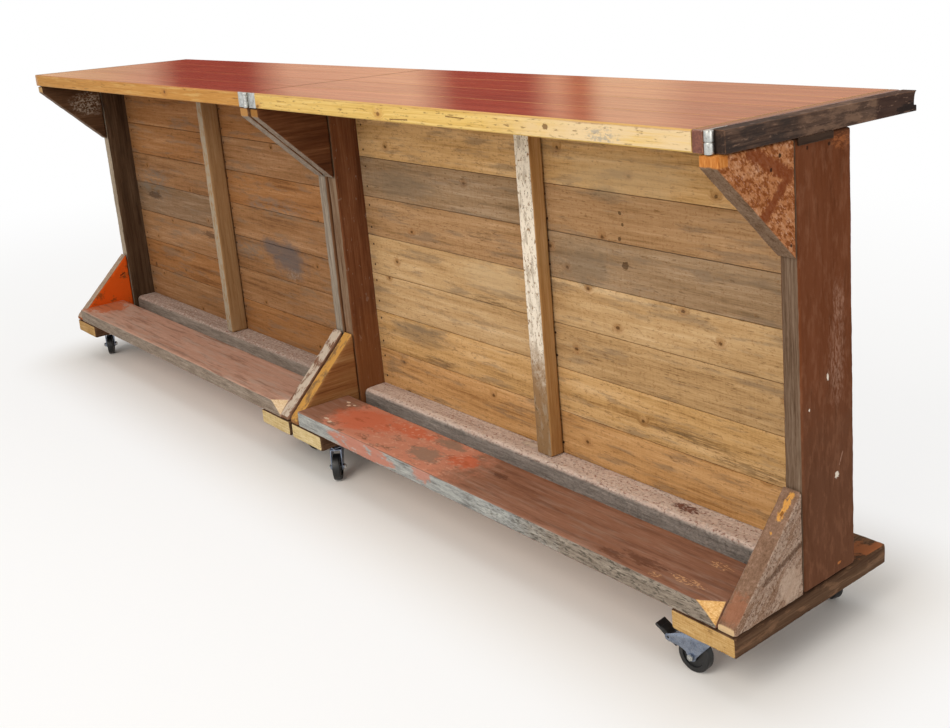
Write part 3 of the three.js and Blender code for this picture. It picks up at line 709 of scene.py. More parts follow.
splitFace = facing((0.465, -0.672, 0.576), (0.9, 0.97))
freshSplit = {
    "along": "X", "tones": "#b98548 #d7a868 #e3bb80 #efd2a0", "grain": [(120, 4, 0.5), (40, 1.8, 0.5)]}
paleSplit = dict(freshSplit, tones="#bfa07a #d5bb96 #dfc9a9 #e9d8be")
wornTop = facing((0, 0, 1))
restTop = (2, 0.194, 0.02)
footrestGrain = [(420, 40, 0.4), (180, 12, 0.34), (30, 4, 0.26)]
greyFront = {
    "along": "X", "tones": "#6a6c6c #8f9495 #a9afaf #c4c7c5",
    "grain": [(90, 12, 0.4), (40, 4, 0.34), (12, 3, 0.26)]}
joistLooks["right_footrest"] = {
    "along": "X", "tones": "#704a3a #88604d #946c5a #a68170", "bump": 0.8, "range": (0.3, 0.7),
    "grain": footrestGrain,
    "layers": [
        layer("#9d867a", 0.45, patches((160, 16, 16), 0.56, 0.08), proud=0.3),
        layer("#59362a", 0.4, past("X", 0.72, 0.85, 0.2), patches((180, 14, 14), 0.55, 0.07, 6)),
        layer("#cb8a74", 0.88, wornTop, past("X", 0.14, 0.2, 0.12), past("X", 0.82, 0.68, 0.2),
            patches((60, 30, 30), 0.41, 0.06, 2), proud=0.25, rough=0.6),
        layer("#c95f3b", 0.6, wornTop,
            anyOf(spot((0.27, -0.2, 0.194), (0.11, 0.06, 0.03), 0.8, 0.4),
                spot((0.44, -0.16, 0.194), (0.1, 0.025, 0.03), 0.9, 0.3),
                spot((0.72, -0.19, 0.194), (0.05, 0.03, 0.03), 1.0, 0.3))),
        layer("#d6a894", 0.6, wornTop, past("X", 0.3, 0.4, 0.1), past("X", 0.8, 0.7),
            patches((18, 12, 12), 0.58, 0.05, 9)),
        layer("#927a6c", 0.85, wornTop,
            spots(restTop, 0.9, 0.25, (0.605, -0.226, 0.06, 0.032), (0.61, -0.148, 0.06, 0.02)), proud=0.4),
        layer("#e0cdb9", 0.85, wornTop,
            spots(restTop, 0.6, 0.1, (0.112, -0.155, 0.009, 0.004), (0.134, -0.168, 0.007, 0.005),
                (0.149, -0.158, 0.006, 0.003), (0.172, -0.262, 0.012, 0.004), (0.2, -0.269, 0.009, 0.005))),
        layer("#d8aa7e", 0.7, wornTop,
            spots(restTop, 0.8, 0.1, (1.55, -0.165, 0.024, 0.012), (1.54, -0.252, 0.04, 0.01),
                (1.47, -0.275, 0.016, 0.008)),
            patches((8, 4, 4), 0.53, 0.04, 7)),
        layer("#4c2c20", 0.55, wornTop,
            anyOf(spots(restTop, 1.4, 0.4, (1.42, -0.25, 0.05, 0.014), (1.34, -0.27, 0.03, 0.01)),
                spot((0.86, -0.185, 0.194), (0.025, 0.01, 0.02), 1.2, 0.3))),
        layer(greyFront, 0.94, frontFace),
        layer("#bd7a66", 0.85, frontFace, spot((0.385, -0.291, 0.172), (0.15, 0.05, 0.03), 0.5),
            patches((40, 12, 12), 0.4, 0.07, 5)),
        layer("#bd7a66", 0.75, frontFace, spot((0.672, -0.291, 0.182), (0.034, 0.05, 0.02), 1.0, 0.3)),
        layer(dict(greyFront, tones="#5e5449 #7e7368 #93887c #aaa094"), 0.92, frontFace,
            past("X", 0.95, 1.25, 0.3)),
        layer("#45413a", 0.75, frontFace, past("X", 0.75, 1.1, 0.2), patches((16, 6, 4), 0.55, 0.05, 9)),
        layer(freshSplit, 0.95, splitFace),
        layer("#c3a998", 0.4, edges(3))]}
joistLooks["left_footrest"] = {
    "along": "X", "tones": "#976f5d #b78f7d #c39d8c #d2b1a2", "bump": 0.8, "range": (0.3, 0.7),
    "grain": footrestGrain,
    "layers": [
        layer("#b6a398", 0.5, patches((150, 18, 18), 0.55, 0.07), proud=0.3),
        layer("#bc673e", 0.9, wornTop, spot((-1.6, -0.2, 0.194), (0.1, 0.07, 0.03), 1.0, 0.2)),
        layer("#644537", 0.45, patches((180, 14, 14), 0.57, 0.06, 6)),
        layer(dict(greyFront, tones="#5e554b #7b7166 #90867b #a79d92"), 0.92, frontFace),
        layer(paleSplit, 0.95, splitFace),
        layer("#d0bca8", 0.4, edges(3))]}
sillLooks = {
    "right": {
        "tones": "#ae958a #cdb8af #dccbc3 #eadfd9", "front": "#5a5450 #75706c #8b8581 #a39d98",
        "marks": [
            layer("#6b3a2a", 0.85, spot((1.321, -0.023, 0.194), (0.034, 0.014, 0.02), 0.8),
                patches((10, 8, 8), 0.44, 0.06, 3), proud=-0.8),
            layer("#d4c6ba", 0.85, spot((0.768, -0.013, 0.194), (0.03, 0.012, 0.02), 0.9), proud=1.2)]},
    "left": {
        "tones": "#87726a #a8948a #bba9a1 #cdbfb8", "front": "#655b53 #81776e #968c83 #aca39b", "marks": []}}
for side, sill in sillLooks.items():
    front = {"along": "X", "tones": sill["front"], "grain": [(120, 12, 0.4), (50, 4, 0.36), (14, 2, 0.24)]}
    joistLooks[side + "_sill"] = {
        "along": "X", "tones": sill["tones"], "bump": 1.0, "deep": 1.6,
        "layers": [
            layer("#e0d3cb", 0.7, patches((9, 8, 8), 0.56, 0.05), proud=0.9),
            layer("#8c5442", 0.7, patches((8, 6, 6), 0.58, 0.04, 6), proud=-0.5),
            layer(front, 0.92, past("Y", -0.0585, -0.0635, 0.003, (30, 12, 12)))] + sill["marks"]}
studLooks = {
    "right_stud": {
        "along": "Z", "tones": "#8a6238 #a37a4c #b08a5c #c09c70", "rough": 0.62,
        "layers": [
            layer("#8f7354", 0.9, frontFace),
            layer("#efe9dd", 0.94, frontFace, past("Z", 0.38, 0.52, 0.2), patches((7, 7, 13), 0.41, 0.05),
                proud=0.6),
            layer("#a39684", 0.6, frontFace, patches((16, 16, 60), 0.56, 0.06, 7)),
            layer("#4a3a2a", 0.75, frontFace, patches((6, 6, 9), 0.63, 0.03, 5))]},
    "left_stud": {
        "along": "Z", "tones": "#7c5c38 #957450 #a1825e #b2946f", "rough": 0.62,
        "layers": [layer("#a39a8a", 0.85, frontFace, patches((10, 10, 34), 0.45, 0.06))]}}


def knockTexture(name, sizeMm, contrast):
    texture = bpy.data.textures.new(name, "CLOUDS")
    texture.noise_scale = sizeMm * mm
    texture.noise_depth = 3
    texture.contrast = contrast
    return texture


def wornTimber(node, material, wear):
    # the sawn solid with its arrises rubbed round and shallow knocks in its faces, never proud of it
    piece = nodeCopy(node, node + "_worn")
    addModifier(piece, "even faces", "REMESH", mode="VOXEL", voxel_size=wear["voxel"])
    for texture, depth in wear["knocks"]:
        addModifier(piece, "knocks", "DISPLACE", texture=texture, texture_coords="LOCAL", mid_level=1.0,
                    strength=depth)
    addModifier(piece, "rubbed round", "SMOOTH", factor=0.5, iterations=2)
    applyModifiers(piece)
    bpy.ops.object.shade_smooth()
    standFor(piece, node, material)


broadKnocks = knockTexture("broad knocks", 70, 1.4)
smallKnocks = knockTexture("small knocks", 13, 1.8)
timberWear = {"voxel": 5 * mm, "knocks": [(broadKnocks, 1.6 * mm), (smallKnocks, 1.0 * mm)]}
studWear = dict(timberWear, voxel=4 * mm)
boardWear = {"voxel": 4 * mm, "knocks": [(broadKnocks, 0.7 * mm), (smallKnocks, 0.6 * mm)]}
for name, look in joistLooks.items():
    # old softwood joist: matt with raised grain, lime, paint and dirt left on it, pale rubbed corners
    material = timberMaterial("Reclaimed softwood joist " + name.replace("_", " "), look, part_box(name))
    if name.endswith("_sill"):
        dress(name, material)  # its wane is in the solid
    else:
        wornTimber(name, material, boardWear if name.endswith("_footrest") else timberWear)
for name, look in studLooks.items():
    # sawn softwood with an old coat of limewash flaking off its front
    material = timberMaterial("Sawn softwood " + name.replace("_", " "), look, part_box(name))
    wornTimber(name, material, studWear)
print("timbers worn and dressed:", len(joistLooks) + len(studLooks))


# Walls: separate boards that meet behind the stud, tongued along their joints and nailed at their ends

wallBoards = {
    "pitch": 115 * mm, "gap": 1.8 * mm, "endGap": 0.5 * mm, "backGap": 1 * mm, "edge": 1.2 * mm,
    "tongue": (6 * mm, 12 * mm),  # from the wall's front
    "shift": 0.8 * mm, "warp": 1.2 * mm, "cuts": 7}
boardTones = {
    "golden": "#9c774a #c09a66 #cda877 #d9b98c", "tan": "#957651 #b59469 #c2a379 #d0b48d",
    "grey": "#756048 #93795c #a1886c #b29c83", "brown": "#836542 #a5825d #b2906b #c0a07d",
    # umber, russet and dusk are used on the left wall only; their darkness is painted shade, standing for the
    # shade the left section is in
    "orange": "#9a7046 #be925f #cba06f #d7b184", "umber": "#6b4b32 #8e6744 #9b7451 #ac8664",
    "russet": "#6f492b #93663e #a07249 #b1855d", "dusk": "#5f4a34 #7c6147 #8a6f56 #9b836c"}
boardRows = {  # from the sill up, left bay then right bay
    "right": ["orange golden tan tan brown grey golden tan", "orange golden tan tan grey brown golden tan"],
    # the left wall is laid in darker tones: painted shade
    "left": ["umber russet umber dusk umber russet russet umber",
             "russet umber umber umber russet umber russet umber"]}
wallFace = (1, 0.005, 0.03)
wallMarks = {
    "right": [
        layer("#6d6356", 0.45,
            spots(wallFace, 0.8, 0.5, (0.27, 0.39, 0.13, 0.03), (0.25, 0.82, 0.14, 0.04),
                (1.09, 0.88, 0.05, 0.02), (1.0, 0.7, 0.09, 0.045))),
        layer("#c9b28e", 0.45,
            spots(wallFace, 0.8, 0.6, (0.63, 0.61, 0.12, 0.03), (1.14, 0.92, 0.2, 0.04))),
        layer("#4a3420", 0.5,
            spots(wallFace, 1.0, 0.4, (0.61, 0.55, 0.07, 0.01), (0.36, 0.325, 0.07, 0.01),
                (0.6, 0.72, 0.06, 0.012), (1.33, 0.35, 0.12, 0.012), (1.5, 0.325, 0.1, 0.012)),
            patches((60, 10, 5), 0.47, 0.07, 2)),
        layer("#45301d", 0.75,
            spots(wallFace, 0.6, 0.1, (1.14, 0.72, 0.012, 0.009), (1.13, 0.84, 0.005, 0.005),
                (1.125, 0.78, 0.005, 0.005), (1.137, 0.814, 0.004, 0.004)))],
    "left": [
        layer("#6f6c66", 0.5,
            spots(wallFace, 0.8, 0.5, (-0.52, 0.67, 0.16, 0.03), (-0.75, 0.5, 0.1, 0.03),
                (-1.48, 0.66, 0.12, 0.05)),
            patches((40, 12, 14), 0.46, 0.09, 2)),
        layer("#56565a", 0.7,
            anyOf(spot((-0.455, 0.005, 0.505), (0.1, 0.03, 0.05), 0.7, 0.55),
                spot((-0.56, 0.005, 0.53), (0.08, 0.03, 0.025), 0.9, 0.5))),
        layer("#b2a698", 0.28, spot((-0.44, 0.005, 0.45), (0.04, 0.03, 0.02), 0.9, 0.3),
            patches((9, 6, 6), 0.54, 0.05, 5)),
        layer("#33221a", 0.6,
            anyOf(spots(wallFace, 1.0, 0.3, (-1.486, 0.611, 0.06, 0.014), (-1.027, 0.511, 0.06, 0.012)),
                spot((-1.582, 0.005, 0.322), (0.01, 0.03, 0.008), 0.8)))]}


def boardMaterial(tone, side, seamAt, low):
    # old pine lining: dry and low in contrast, soft saw marks across, a few knots and old stains
    look = {
        "along": "X", "tones": boardTones[tone], "rough": 0.7, "bump": 0.5, "range": (0.38, 0.62),
        "seed": len(tone), "grain": [(520, 34, 0.4), (240, 8, 0.3), (60, 2.4, 0.22), (6, 130, 0.08)],
        "boards": {"across": "Z", "start": low, "pitch": wallBoards["pitch"], "split": seamAt, "vary": 0.05},
        "knots": {"across": "Z", "apart": (300, 90), "radius": 5, "share": 0.5, "halo": "#8f6236",
                  "core": "#4c2f19"},
        "layers": [
            layer("#77695a", 0.5, patches((190, 26, 26), 0.58, 0.07, len(tone))),
            layer("#54391f", 0.5, patches((30, 8, 5), 0.62, 0.05, 3)),
            layer("#7a5028", 0.4, patches((9, 6, 6), 0.6, 0.05, 8))] + wallMarks[side]}
    return timberMaterial("Weathered pine lining %s %s" % (tone, side), look)


def ironMaterial():
    # old nail heads: dark iron with a bloom of rust
    material, tree, shader, place = newMaterial("Rusted wrought iron")
    rust = mottle(tree, place["Object"], (3, 3, 3), 2, 5.0)
    spread = addNode(tree, "MapRange", [rust, 0.4, 0.62])
    colors = {0: spread, 6: linear("#2c2723"), 7: linear("#5e3a24")}
    color = addNode(tree, "Mix", colors, 2, data_type="RGBA")
    roughness = addNode(tree, "MapRange", [rust, 0.0, 1.0, 0.45, 0.8])
    setInputs(tree, shader, {"Base Color": color, "Roughness": roughness, "Metallic": 0.6})
    return material


def flatHead(look):
    # a round head with its axis along Y; each inset narrows its front face and moves it out or in
    deselect()
    bpy.ops.mesh.primitive_cylinder_add(vertices=look["sides"], radius=look["radius"],
                                        depth=2 * look["proud"], rotation=(math.radians(90), 0, 0))
    head = bpy.context.object
    applyPlace(head)
    bpy.ops.object.mode_set(mode="EDIT")
    selectWhere(head, "FACE", lambda face: face.normal.y < -0.9)
    for thickness, depth in look["insets"]:
        bpy.ops.mesh.inset(thickness=thickness, depth=depth)
    bpy.ops.object.mode_set(mode="OBJECT")
    return head


def wallBoard(low, high, tongue):
    # a board with rubbed edges and a slight warp
    board = block(low, high)
    bpy.ops.object.mode_set(mode="EDIT")
    if tongue:  # it reaches into the board above, so that no light comes through the joint
        for depth in tongue:
            bpy.ops.mesh.select_all(action="SELECT")
            bpy.ops.mesh.bisect(plane_co=(0, depth, 0), plane_no=(0, 1, 0))
        selectWhere(board, "FACE", lambda face: face.normal.z > 0.9
                    and tongue[0] < face.calc_center_median().y < tongue[1])
        bpy.ops.mesh.extrude_region_move(
            TRANSFORM_OT_translate={"value": (0, 0, wallBoards["gap"] + wallBoards["edge"])})
    bpy.ops.mesh.select_all(action="SELECT")
    bpy.ops.mesh.subdivide(number_cuts=wallBoards["cuts"])
    bpy.ops.object.mode_set(mode="OBJECT")
    addModifier(board, "rubbed edges", "BEVEL", width=wallBoards["edge"], segments=2)
    # in and out only, so that the joints stay shut
    addModifier(board, "warp", "DISPLACE", texture=wallWarp, texture_coords="LOCAL", direction="Y",
                mid_level=0.0, strength=wallBoards["warp"])
    applyModifiers(board)
    shadeSmooth(35)
    return board


nailLook = {
    "sides": 14, "radius": 3.0 * mm, "proud": 0.7 * mm,
    "insets": [(0.5 * mm, 0.2 * mm), (1.2 * mm, -0.2 * mm)],  # thickness and depth of each
    "fromEnd": 24 * mm, "clearStud": 12 * mm, "spread": 32 * mm, "fromEdge": 12 * mm, "strayMm": (4, 5),
    "seat": 0.4}  # share of the warp
nail = flatHead(nailLook)
shadeSmooth(40)
nail.data.materials.append(ironMaterial())
wallWarp = knockTexture("board warp", 180, 1.0)
for side, bays in boardRows.items():
    name = side + "_wall_planks"
    low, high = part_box(name)
    studLow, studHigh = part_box(side + "_stud")
    seamAt = (studLow.x + studHigh.x) / 2
    used = sorted(set(" ".join(bays).split()))
    materials = {tone: boardMaterial(tone, side, seamAt, low.z) for tone in used}
    boards, nails = [], []
    for bay, tones in enumerate(bays):
        fromX, toX = (low.x, seamAt) if bay == 0 else (seamAt, high.x)
        nailXs = [fromX + nailLook["fromEnd"], toX - nailLook["fromEnd"]]
        if bay == 0:
            nailXs[1] -= nailLook["clearStud"]
        for row, tone in enumerate(tones.split()):
            bottom = low.z + row * wallBoards["pitch"]
            top = min(bottom + wallBoards["pitch"], high.z)
            front = low.y + random.uniform(0, wallBoards["shift"])
            tongue = [low.y + depth for depth in wallBoards["tongue"]] if top < high.z else None
            board = wallBoard((fromX + wallBoards["endGap"], front, bottom + wallBoards["gap"] / 2),
                              (toX - wallBoards["endGap"], high.y - wallBoards["backGap"],
                               top - wallBoards["gap"] / 2), tongue)
            board.data.materials.append(materials[tone])
            boards.append(board)
            spread = min(nailLook["spread"], (top - bottom) / 2 - nailLook["fromEdge"])
            nailY = front + wallBoards["warp"] * nailLook["seat"]
            for x in nailXs:
                for z in ((bottom + top) / 2 - spread, (bottom + top) / 2 + spread):
                    strayX, strayZ = [random.uniform(-stray, stray) * mm for stray in nailLook["strayMm"]]
                    nails.append(((x + strayX, nailY, z + strayZ), (0, 0, 0)))
    wall = joinPieces(boards, side + "_wall_boards")
    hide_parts(name)
    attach(wall, side + "_section")
    setOut(nail, nails, side + "_wall_nails", side + "_section")
bpy.data.objects.remove(nail)
print("wall boards laid and nailed")


# Hinges and casters: pressed and plated steel, black wheels

def metalMaterial(name, look):
    # plated sheet steel: fine brushed lines, dull bloom, and dark grime where hands and wheels don't rub
    material, tree, shader, place = newMaterial(name)
    lines = mottle(tree, place["Object"], look["lines"], 1, 4.0, 0.7)
    bloom = mottle(tree, place["Object"], (14, 14, 14), 2, 6.0, 0.66)
    grime = mottle(tree, place["Object"], (6, 6, 9), 5, 7.0, 0.7)
    color = linear(look["color"])
    for pattern, low, high, share, tint in ((bloom, 0.4, 0.68, 0.8, "bloom"), (lines, 0.5, 0.72, 0.5, "dark"),
                                            (grime, 0.57, 0.66, 0.7, "grime")):
        mask = addNode(tree, "MapRange", [pattern, low, high, 0.0, share], interpolation_type="SMOOTHSTEP")
        color = addNode(tree, "Mix", {0: mask, 6: color, 7: linear(look[tint])}, 2, data_type="RGBA")
    roughness = addNode(tree, "MapRange", [bloom, 0.3, 0.7, look["rough"] - 0.08, look["rough"] + 0.16])
    bump = addNode(tree, "Bump", {"Height": lines, "Strength": 0.2, "Distance": 0.3 * mm})
    setInputs(tree, shader, {"Base Color": color, "Roughness": roughness, "Normal": bump, "Metallic": 1.0})
    return material


def blackMaterial(name, look):
    # moulded black goods: dark and even, with grey dust caught on them
    material, tree, shader, place = newMaterial(name)
    dust = mottle(tree, place["Object"], (8, 8, 8), 3, 7.0, 0.68)
    grit = mottle(tree, place["Object"], (0.9, 0.9, 0.9), 4, 2.0)
    mask = addNode(tree, "MapRange", [dust, 0.5, 0.75], interpolation_type="SMOOTHSTEP")
    colors = {0: mask, 6: linear(look["color"]), 7: linear(look["dust"])}
    color = addNode(tree, "Mix", colors, 2, data_type="RGBA")
    roughness = addNode(tree, "MapRange", [dust, 0.3, 0.7, look["rough"] - 0.1, look["rough"] + 0.15])
    bump = addNode(tree, "Bump", {"Height": grit, "Strength": 0.15, "Distance": 0.2 * mm})
    setInputs(tree, shader, {"Base Color": color, "Roughness": roughness, "Normal": bump})
    return material


zinc = metalMaterial("Zinc-plated steel, worn bright", {
    "color": "#c9cac6", "bloom": "#9b9c9a", "dark": "#6d6e6e", "grime": "#57493c", "rough": 0.36,
    "lines": (9, 2, 0.8)})
casterSteel = metalMaterial("Zinc-plated pressed steel, blue passivated", {
    "color": "#8f99aa", "bloom": "#667084", "dark": "#3f4652", "grime": "#4a4a4c", "rough": 0.24,
    "lines": (4, 4, 1.2)})
rubber = blackMaterial("Moulded black rubber", {"color": "#0d0e10", "dust": "#2a2927", "rough": 0.42})
blackPlastic = blackMaterial("Moulded black nylon", {"color": "#18191b", "dust": "#34332f", "rough": 0.42})

easedEdge = {"width": 0.5 * mm, "segments": 2, "limit_method": "ANGLE", "angle_limit": math.radians(40)}


def easedCopy(node, material):
    # the pressed part with its edges rolled over
    piece = nodeCopy(node, node + "_eased")
    addModifier(piece, "rolled edges", "BEVEL", **easedEdge)
    applyModifiers(piece)
    shadeSmooth(35)
    standFor(piece, node, material)


for name in ("fold_hinge_right_leaf", "fold_hinge_left_leaf", "fold_hinge_pin", "end_hinge_half"):
    easedCopy(name, zinc)

screwLook = {
    "sides": 24, "radius": 3.4 * mm, "proud": 0.7 * mm, "insets": [(0.6 * mm, 0.25 * mm)],
    "slot": 0.9 * mm, "slotLong": 1.2, "slotFloor": 0.4,  # shares of the radius and of the height
    # how far each hole of a leaf is from the barrel's axis in mm, and its share of the leaf's height
    "holes": [(23.34, 1 / 6), (35.67, 1 / 2), (23.34, 5 / 6)]}


def slottedScrew():
    # a countersunk head just proud of the leaf
    screw = flatHead(screwLook)
    halfLong = screwLook["radius"] * screwLook["slotLong"]
    halfWide = screwLook["slot"] / 2
    floor = -screwLook["proud"] * screwLook["slotFloor"]
    blade = block((-halfLong, -10 * mm, -halfWide), (halfLong, floor, halfWide))
    addModifier(screw, "slot", "BOOLEAN", operation="DIFFERENCE", object=blade)
    applyModifiers(screw)
    bpy.data.objects.remove(blade)
    makeActive(screw)
    shadeSmooth(30)
    screw.data.materials.append(zinc)
    return screw


screw = slottedScrew()
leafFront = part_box("right_top_boards")[0].y
for name, way in (("fold_hinge_right_leaf", 1), ("fold_hinge_left_leaf", -1)):
    low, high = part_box(name)
    screws = []
    for across, share in screwLook["holes"]:
        at = (way * across * mm, leafFront, low.z + share * (high.z - low.z))
        screws.append((at, (0, random.uniform(0, 3), 0)))
    setOut(screw, screws, name + "_screws", bodyOf[name])
bpy.data.objects.remove(screw)

wheelLook = {
    "radius": 37.5 * mm, "tread": 21 * mm, "shoulder": 3.2 * mm, "rim": 26 * mm, "web": 15 * mm,
    "slope": 1.2 * mm, "hub": 11 * mm, "hubWide": 25 * mm, "bore": 5.1 * mm}


def casterWheel():
    # a moulded wheel with its axis along Z: rounded tread, sunk web, standing hub and a bore for the axle
    deselect()
    bpy.ops.mesh.primitive_cylinder_add(vertices=56, radius=wheelLook["radius"], depth=wheelLook["tread"])
    wheel = bpy.context.object
    bpy.ops.object.mode_set(mode="EDIT")
    selectWhere(wheel, "EDGE", lambda edge: edge.verts[0].co.z * edge.verts[1].co.z > 0)
    bpy.ops.mesh.bevel(offset=wheelLook["shoulder"], segments=4, affect="EDGES")
    selectWhere(wheel, "FACE", lambda face: abs(face.normal.z) > 0.99)
    slope, rim, hub = wheelLook["slope"], wheelLook["rim"], wheelLook["hub"]
    for thickness, depth in ((wheelLook["radius"] - wheelLook["shoulder"] - rim, 0),
                             (slope, -(wheelLook["tread"] - wheelLook["web"]) / 2),
                             (rim - hub - 2 * slope, 0),
                             (slope, (wheelLook["hubWide"] - wheelLook["web"]) / 2),
                             (hub - wheelLook["bore"], 0)):
        bpy.ops.mesh.inset(thickness=thickness, depth=depth, use_individual=True)
    bpy.ops.mesh.bridge_edge_loops()
    bpy.ops.mesh.select_all(action="SELECT")
    bpy.ops.mesh.normals_make_consistent(inside=False)
    bpy.ops.object.mode_set(mode="OBJECT")
    shadeSmooth(40)
    return wheel


nutLook = {
    "radius": 7.2 * mm, "thick": 3.2 * mm, "chamfer": 0.9 * mm, "bolt": 3.6 * mm, "boltProud": 1.4 * mm,
    "boltRound": (1.0 * mm, 0.5 * mm), "around": 1 * mm}


def axleNut():
    # a chamfered hexagon nut with the rounded end of its bolt, standing on the origin along Z
    deselect()
    bpy.ops.mesh.primitive_cylinder_add(vertices=6, radius=nutLook["radius"], depth=nutLook["thick"],
                                        location=(0, 0, nutLook["thick"] / 2))
    nut = bpy.context.object
    applyPlace(nut)
    bpy.ops.object.mode_set(mode="EDIT")
    selectWhere(nut, "EDGE", lambda edge: min(vert.co.z for vert in edge.verts) > nutLook["thick"] / 2)
    bpy.ops.mesh.bevel(offset=nutLook["chamfer"], segments=2, affect="EDGES")
    bpy.ops.object.mode_set(mode="OBJECT")
    deselect()
    bpy.ops.mesh.primitive_cylinder_add(vertices=20, radius=nutLook["bolt"], depth=nutLook["boltProud"] * 2,
                                        location=(0, 0, nutLook["thick"]))
    bolt = bpy.context.object
    applyPlace(bolt)
    bpy.ops.object.mode_set(mode="EDIT")
    selectWhere(bolt, "FACE", lambda face: face.normal.z > 0.9)
    thickness, depth = nutLook["boltRound"]
    bpy.ops.mesh.inset(thickness=thickness, depth=depth)
    bpy.ops.object.mode_set(mode="OBJECT")
    nut = joinPieces([nut, bolt], "axle_nut")
    shadeSmooth(30)
    nut.data.materials.append(zinc)
    return nut


nut = axleNut()
for name in sorted(nodes):
    if name.endswith("_caster_fork"):  # a nut stands on each cheek of the fork
        roll = joints[name.replace("_caster_fork", "_roll")]
        centre, axis = Vector(roll["pos_m"]), Vector(roll["axis"])
        reach = []
        for corner in nodes[name].data.vertices:
            away = corner.co - centre
            along = away.dot(axis)
            if (away - along * axis).length < nutLook["radius"] + nutLook["around"]:
                reach.append(along)
        nuts = [(centre + far * axis, (way * axis).to_track_quat("Z", "Y").to_euler())
                for way, far in ((1, max(reach)), (-1, min(reach)))]
        setOut(nut, nuts, name.replace("_caster_fork", "_axle_nuts"), bodyOf[name])
bpy.data.objects.remove(nut)

wheel = casterWheel()
for name in sorted(nodes):
    if name.endswith("_caster_wheel"):
        roll = joints[name.replace("_caster_wheel", "_roll")]
        piece = copyOf(wheel, name + "_moulded")
        piece.location = roll["pos_m"]
        piece.rotation_euler = Vector(roll["axis"]).to_track_quat("Z", "Y").to_euler()
        applyPlace(piece)
        standFor(piece, name, rubber)
    if name.endswith(("_caster_plate", "_caster_fork")):
        easedCopy(name, casterSteel)
    if name.endswith("_brake_pedal"):
        easedCopy(name, blackPlastic)
bpy.data.objects.remove(wheel)
print("hinges and casters dressed")


# Floor, light and camera

stageLook = {
    "floorSize": 80, "floor": "#f2f2f2", "sky": "#fbf6ee", "skyStrength": 0.52,
    "shadowed": (1.6, 0.2, 0),  # half the floor that takes the shadow; past it, white comes in by two steps
    "steps": [(0.0, 0.4, 0.74), (0.4, 4.0, 0.26)]}


def directlySeen(tree):
    # 1 for what the camera sees straight, in a reflection or through something clear
    path = addNode(tree, "LightPath", output=None).outputs
    seen = path["Is Camera Ray"]
    for kind in ("Is Glossy Ray", "Is Transmission Ray"):
        seen = addNode(tree, "Math", [seen, path[kind]], operation="MAXIMUM")
    return seen


def paleFloor():
    deselect()
    bpy.ops.mesh.primitive_plane_add(size=stageLook["floorSize"], location=(0, 0, 0))
    floor = bpy.context.object
    floor.name = "studio_floor"
    material = bpy.data.materials.new("Matt white studio floor")
    tree = emptyTree(material)
    # the floor takes the shadow near the bar, and is plain white further out
    away = addNode(tree, "TexCoord", output="Object")
    away = addNode(tree, "VectorMath", [away], operation="ABSOLUTE")
    away = addNode(tree, "VectorMath", [away, stageLook["shadowed"]], operation="SUBTRACT")
    away = addNode(tree, "VectorMath", [away, (0, 0, 0)], operation="MAXIMUM")
    far = addNode(tree, "VectorMath", [away], "Value", operation="LENGTH")
    plain = 0.0
    for start, end, share in stageLook["steps"]:
        step = addNode(tree, "MapRange", [far, start, end, 0.0, share], interpolation_type="SMOOTHSTEP")
        plain = addNode(tree, "Math", [step, plain], operation="ADD")
    white = addNode(tree, "Math", [directlySeen(tree), plain], operation="MULTIPLY")
    diffuse = addNode(tree, "BsdfDiffuse", [linear(stageLook["floor"])])
    glow = addNode(tree, "Emission", {"Color": linear("#ffffff"), "Strength": 1.0})
    addNode(tree, "OutputMaterial", [addNode(tree, "MixShader", [white, diffuse, glow])], None)
    floor.data.materials.append(material)


def paleWorld():
    world = bpy.data.worlds.new("studio")
    bpy.context.scene.world = world
    tree = emptyTree(world)
    soft = addNode(tree, "Background", [linear(stageLook["sky"]), stageLook["skyStrength"]])
    white = addNode(tree, "Background", [linear("#ffffff"), 1.0])
    addNode(tree, "OutputWorld", [addNode(tree, "MixShader", [directlySeen(tree), soft, white])], None)


paleFloor()
paleWorld()

lamps = {
    "key": {"at": (1.9, -5.0, 4.3), "aim": (0.2, 0, 0.5), "size": 4.0, "watts": 230, "color": "#fff4e6"},
    "end": {"at": (6.0, -0.5, 1.8), "aim": (1.6, 0, 0.6), "size": 2.5, "watts": 40, "color": "#fff6ec"},
    "above": {"at": (0, 0.5, 5.0), "aim": (0, 0, 1), "size": 4.0, "watts": 60, "color": "#ffffff"},
}
for name, lamp in lamps.items():
    light = bpy.data.lights.new(name, "AREA")
    light.size = lamp["size"]
    light.energy = lamp["watts"]
    light.color = linear(lamp["color"])[:3]
    lampObject = bpy.data.objects.new(name, light)
    lampObject.location = lamp["at"]
    aim = Vector(lamp["aim"]) - Vector(lamp["at"])
    lampObject.rotation_euler = aim.to_track_quat("-Z", "Y").to_euler()
    bpy.context.scene.collection.objects.link(lampObject)

cameraLook = {
    "at": (3.0154, -1.7586, 1.3894), "turn": (75.9957, 3.462, 47.123), "focalPixels": 1184.03,
    "imageWidth": 950, "imageHeight": 728, "centre": (600, 255),
}
camera = bpy.data.cameras.new("camera")
camera.sensor_width = 36
camera.lens = camera.sensor_width * cameraLook["focalPixels"] / cameraLook["imageWidth"]
camera.shift_x = (cameraLook["imageWidth"] / 2 - cameraLook["centre"][0]) / cameraLook["imageWidth"]
camera.shift_y = (cameraLook["centre"][1] - cameraLook["imageHeight"] / 2) / cameraLook["imageWidth"]
cameraObject = bpy.data.objects.new("camera", camera)
cameraObject.location = cameraLook["at"]
cameraObject.rotation_euler = [math.radians(a) for a in cameraLook["turn"]]
bpy.context.scene.collection.objects.link(cameraObject)
bpy.context.scene.camera = cameraObject

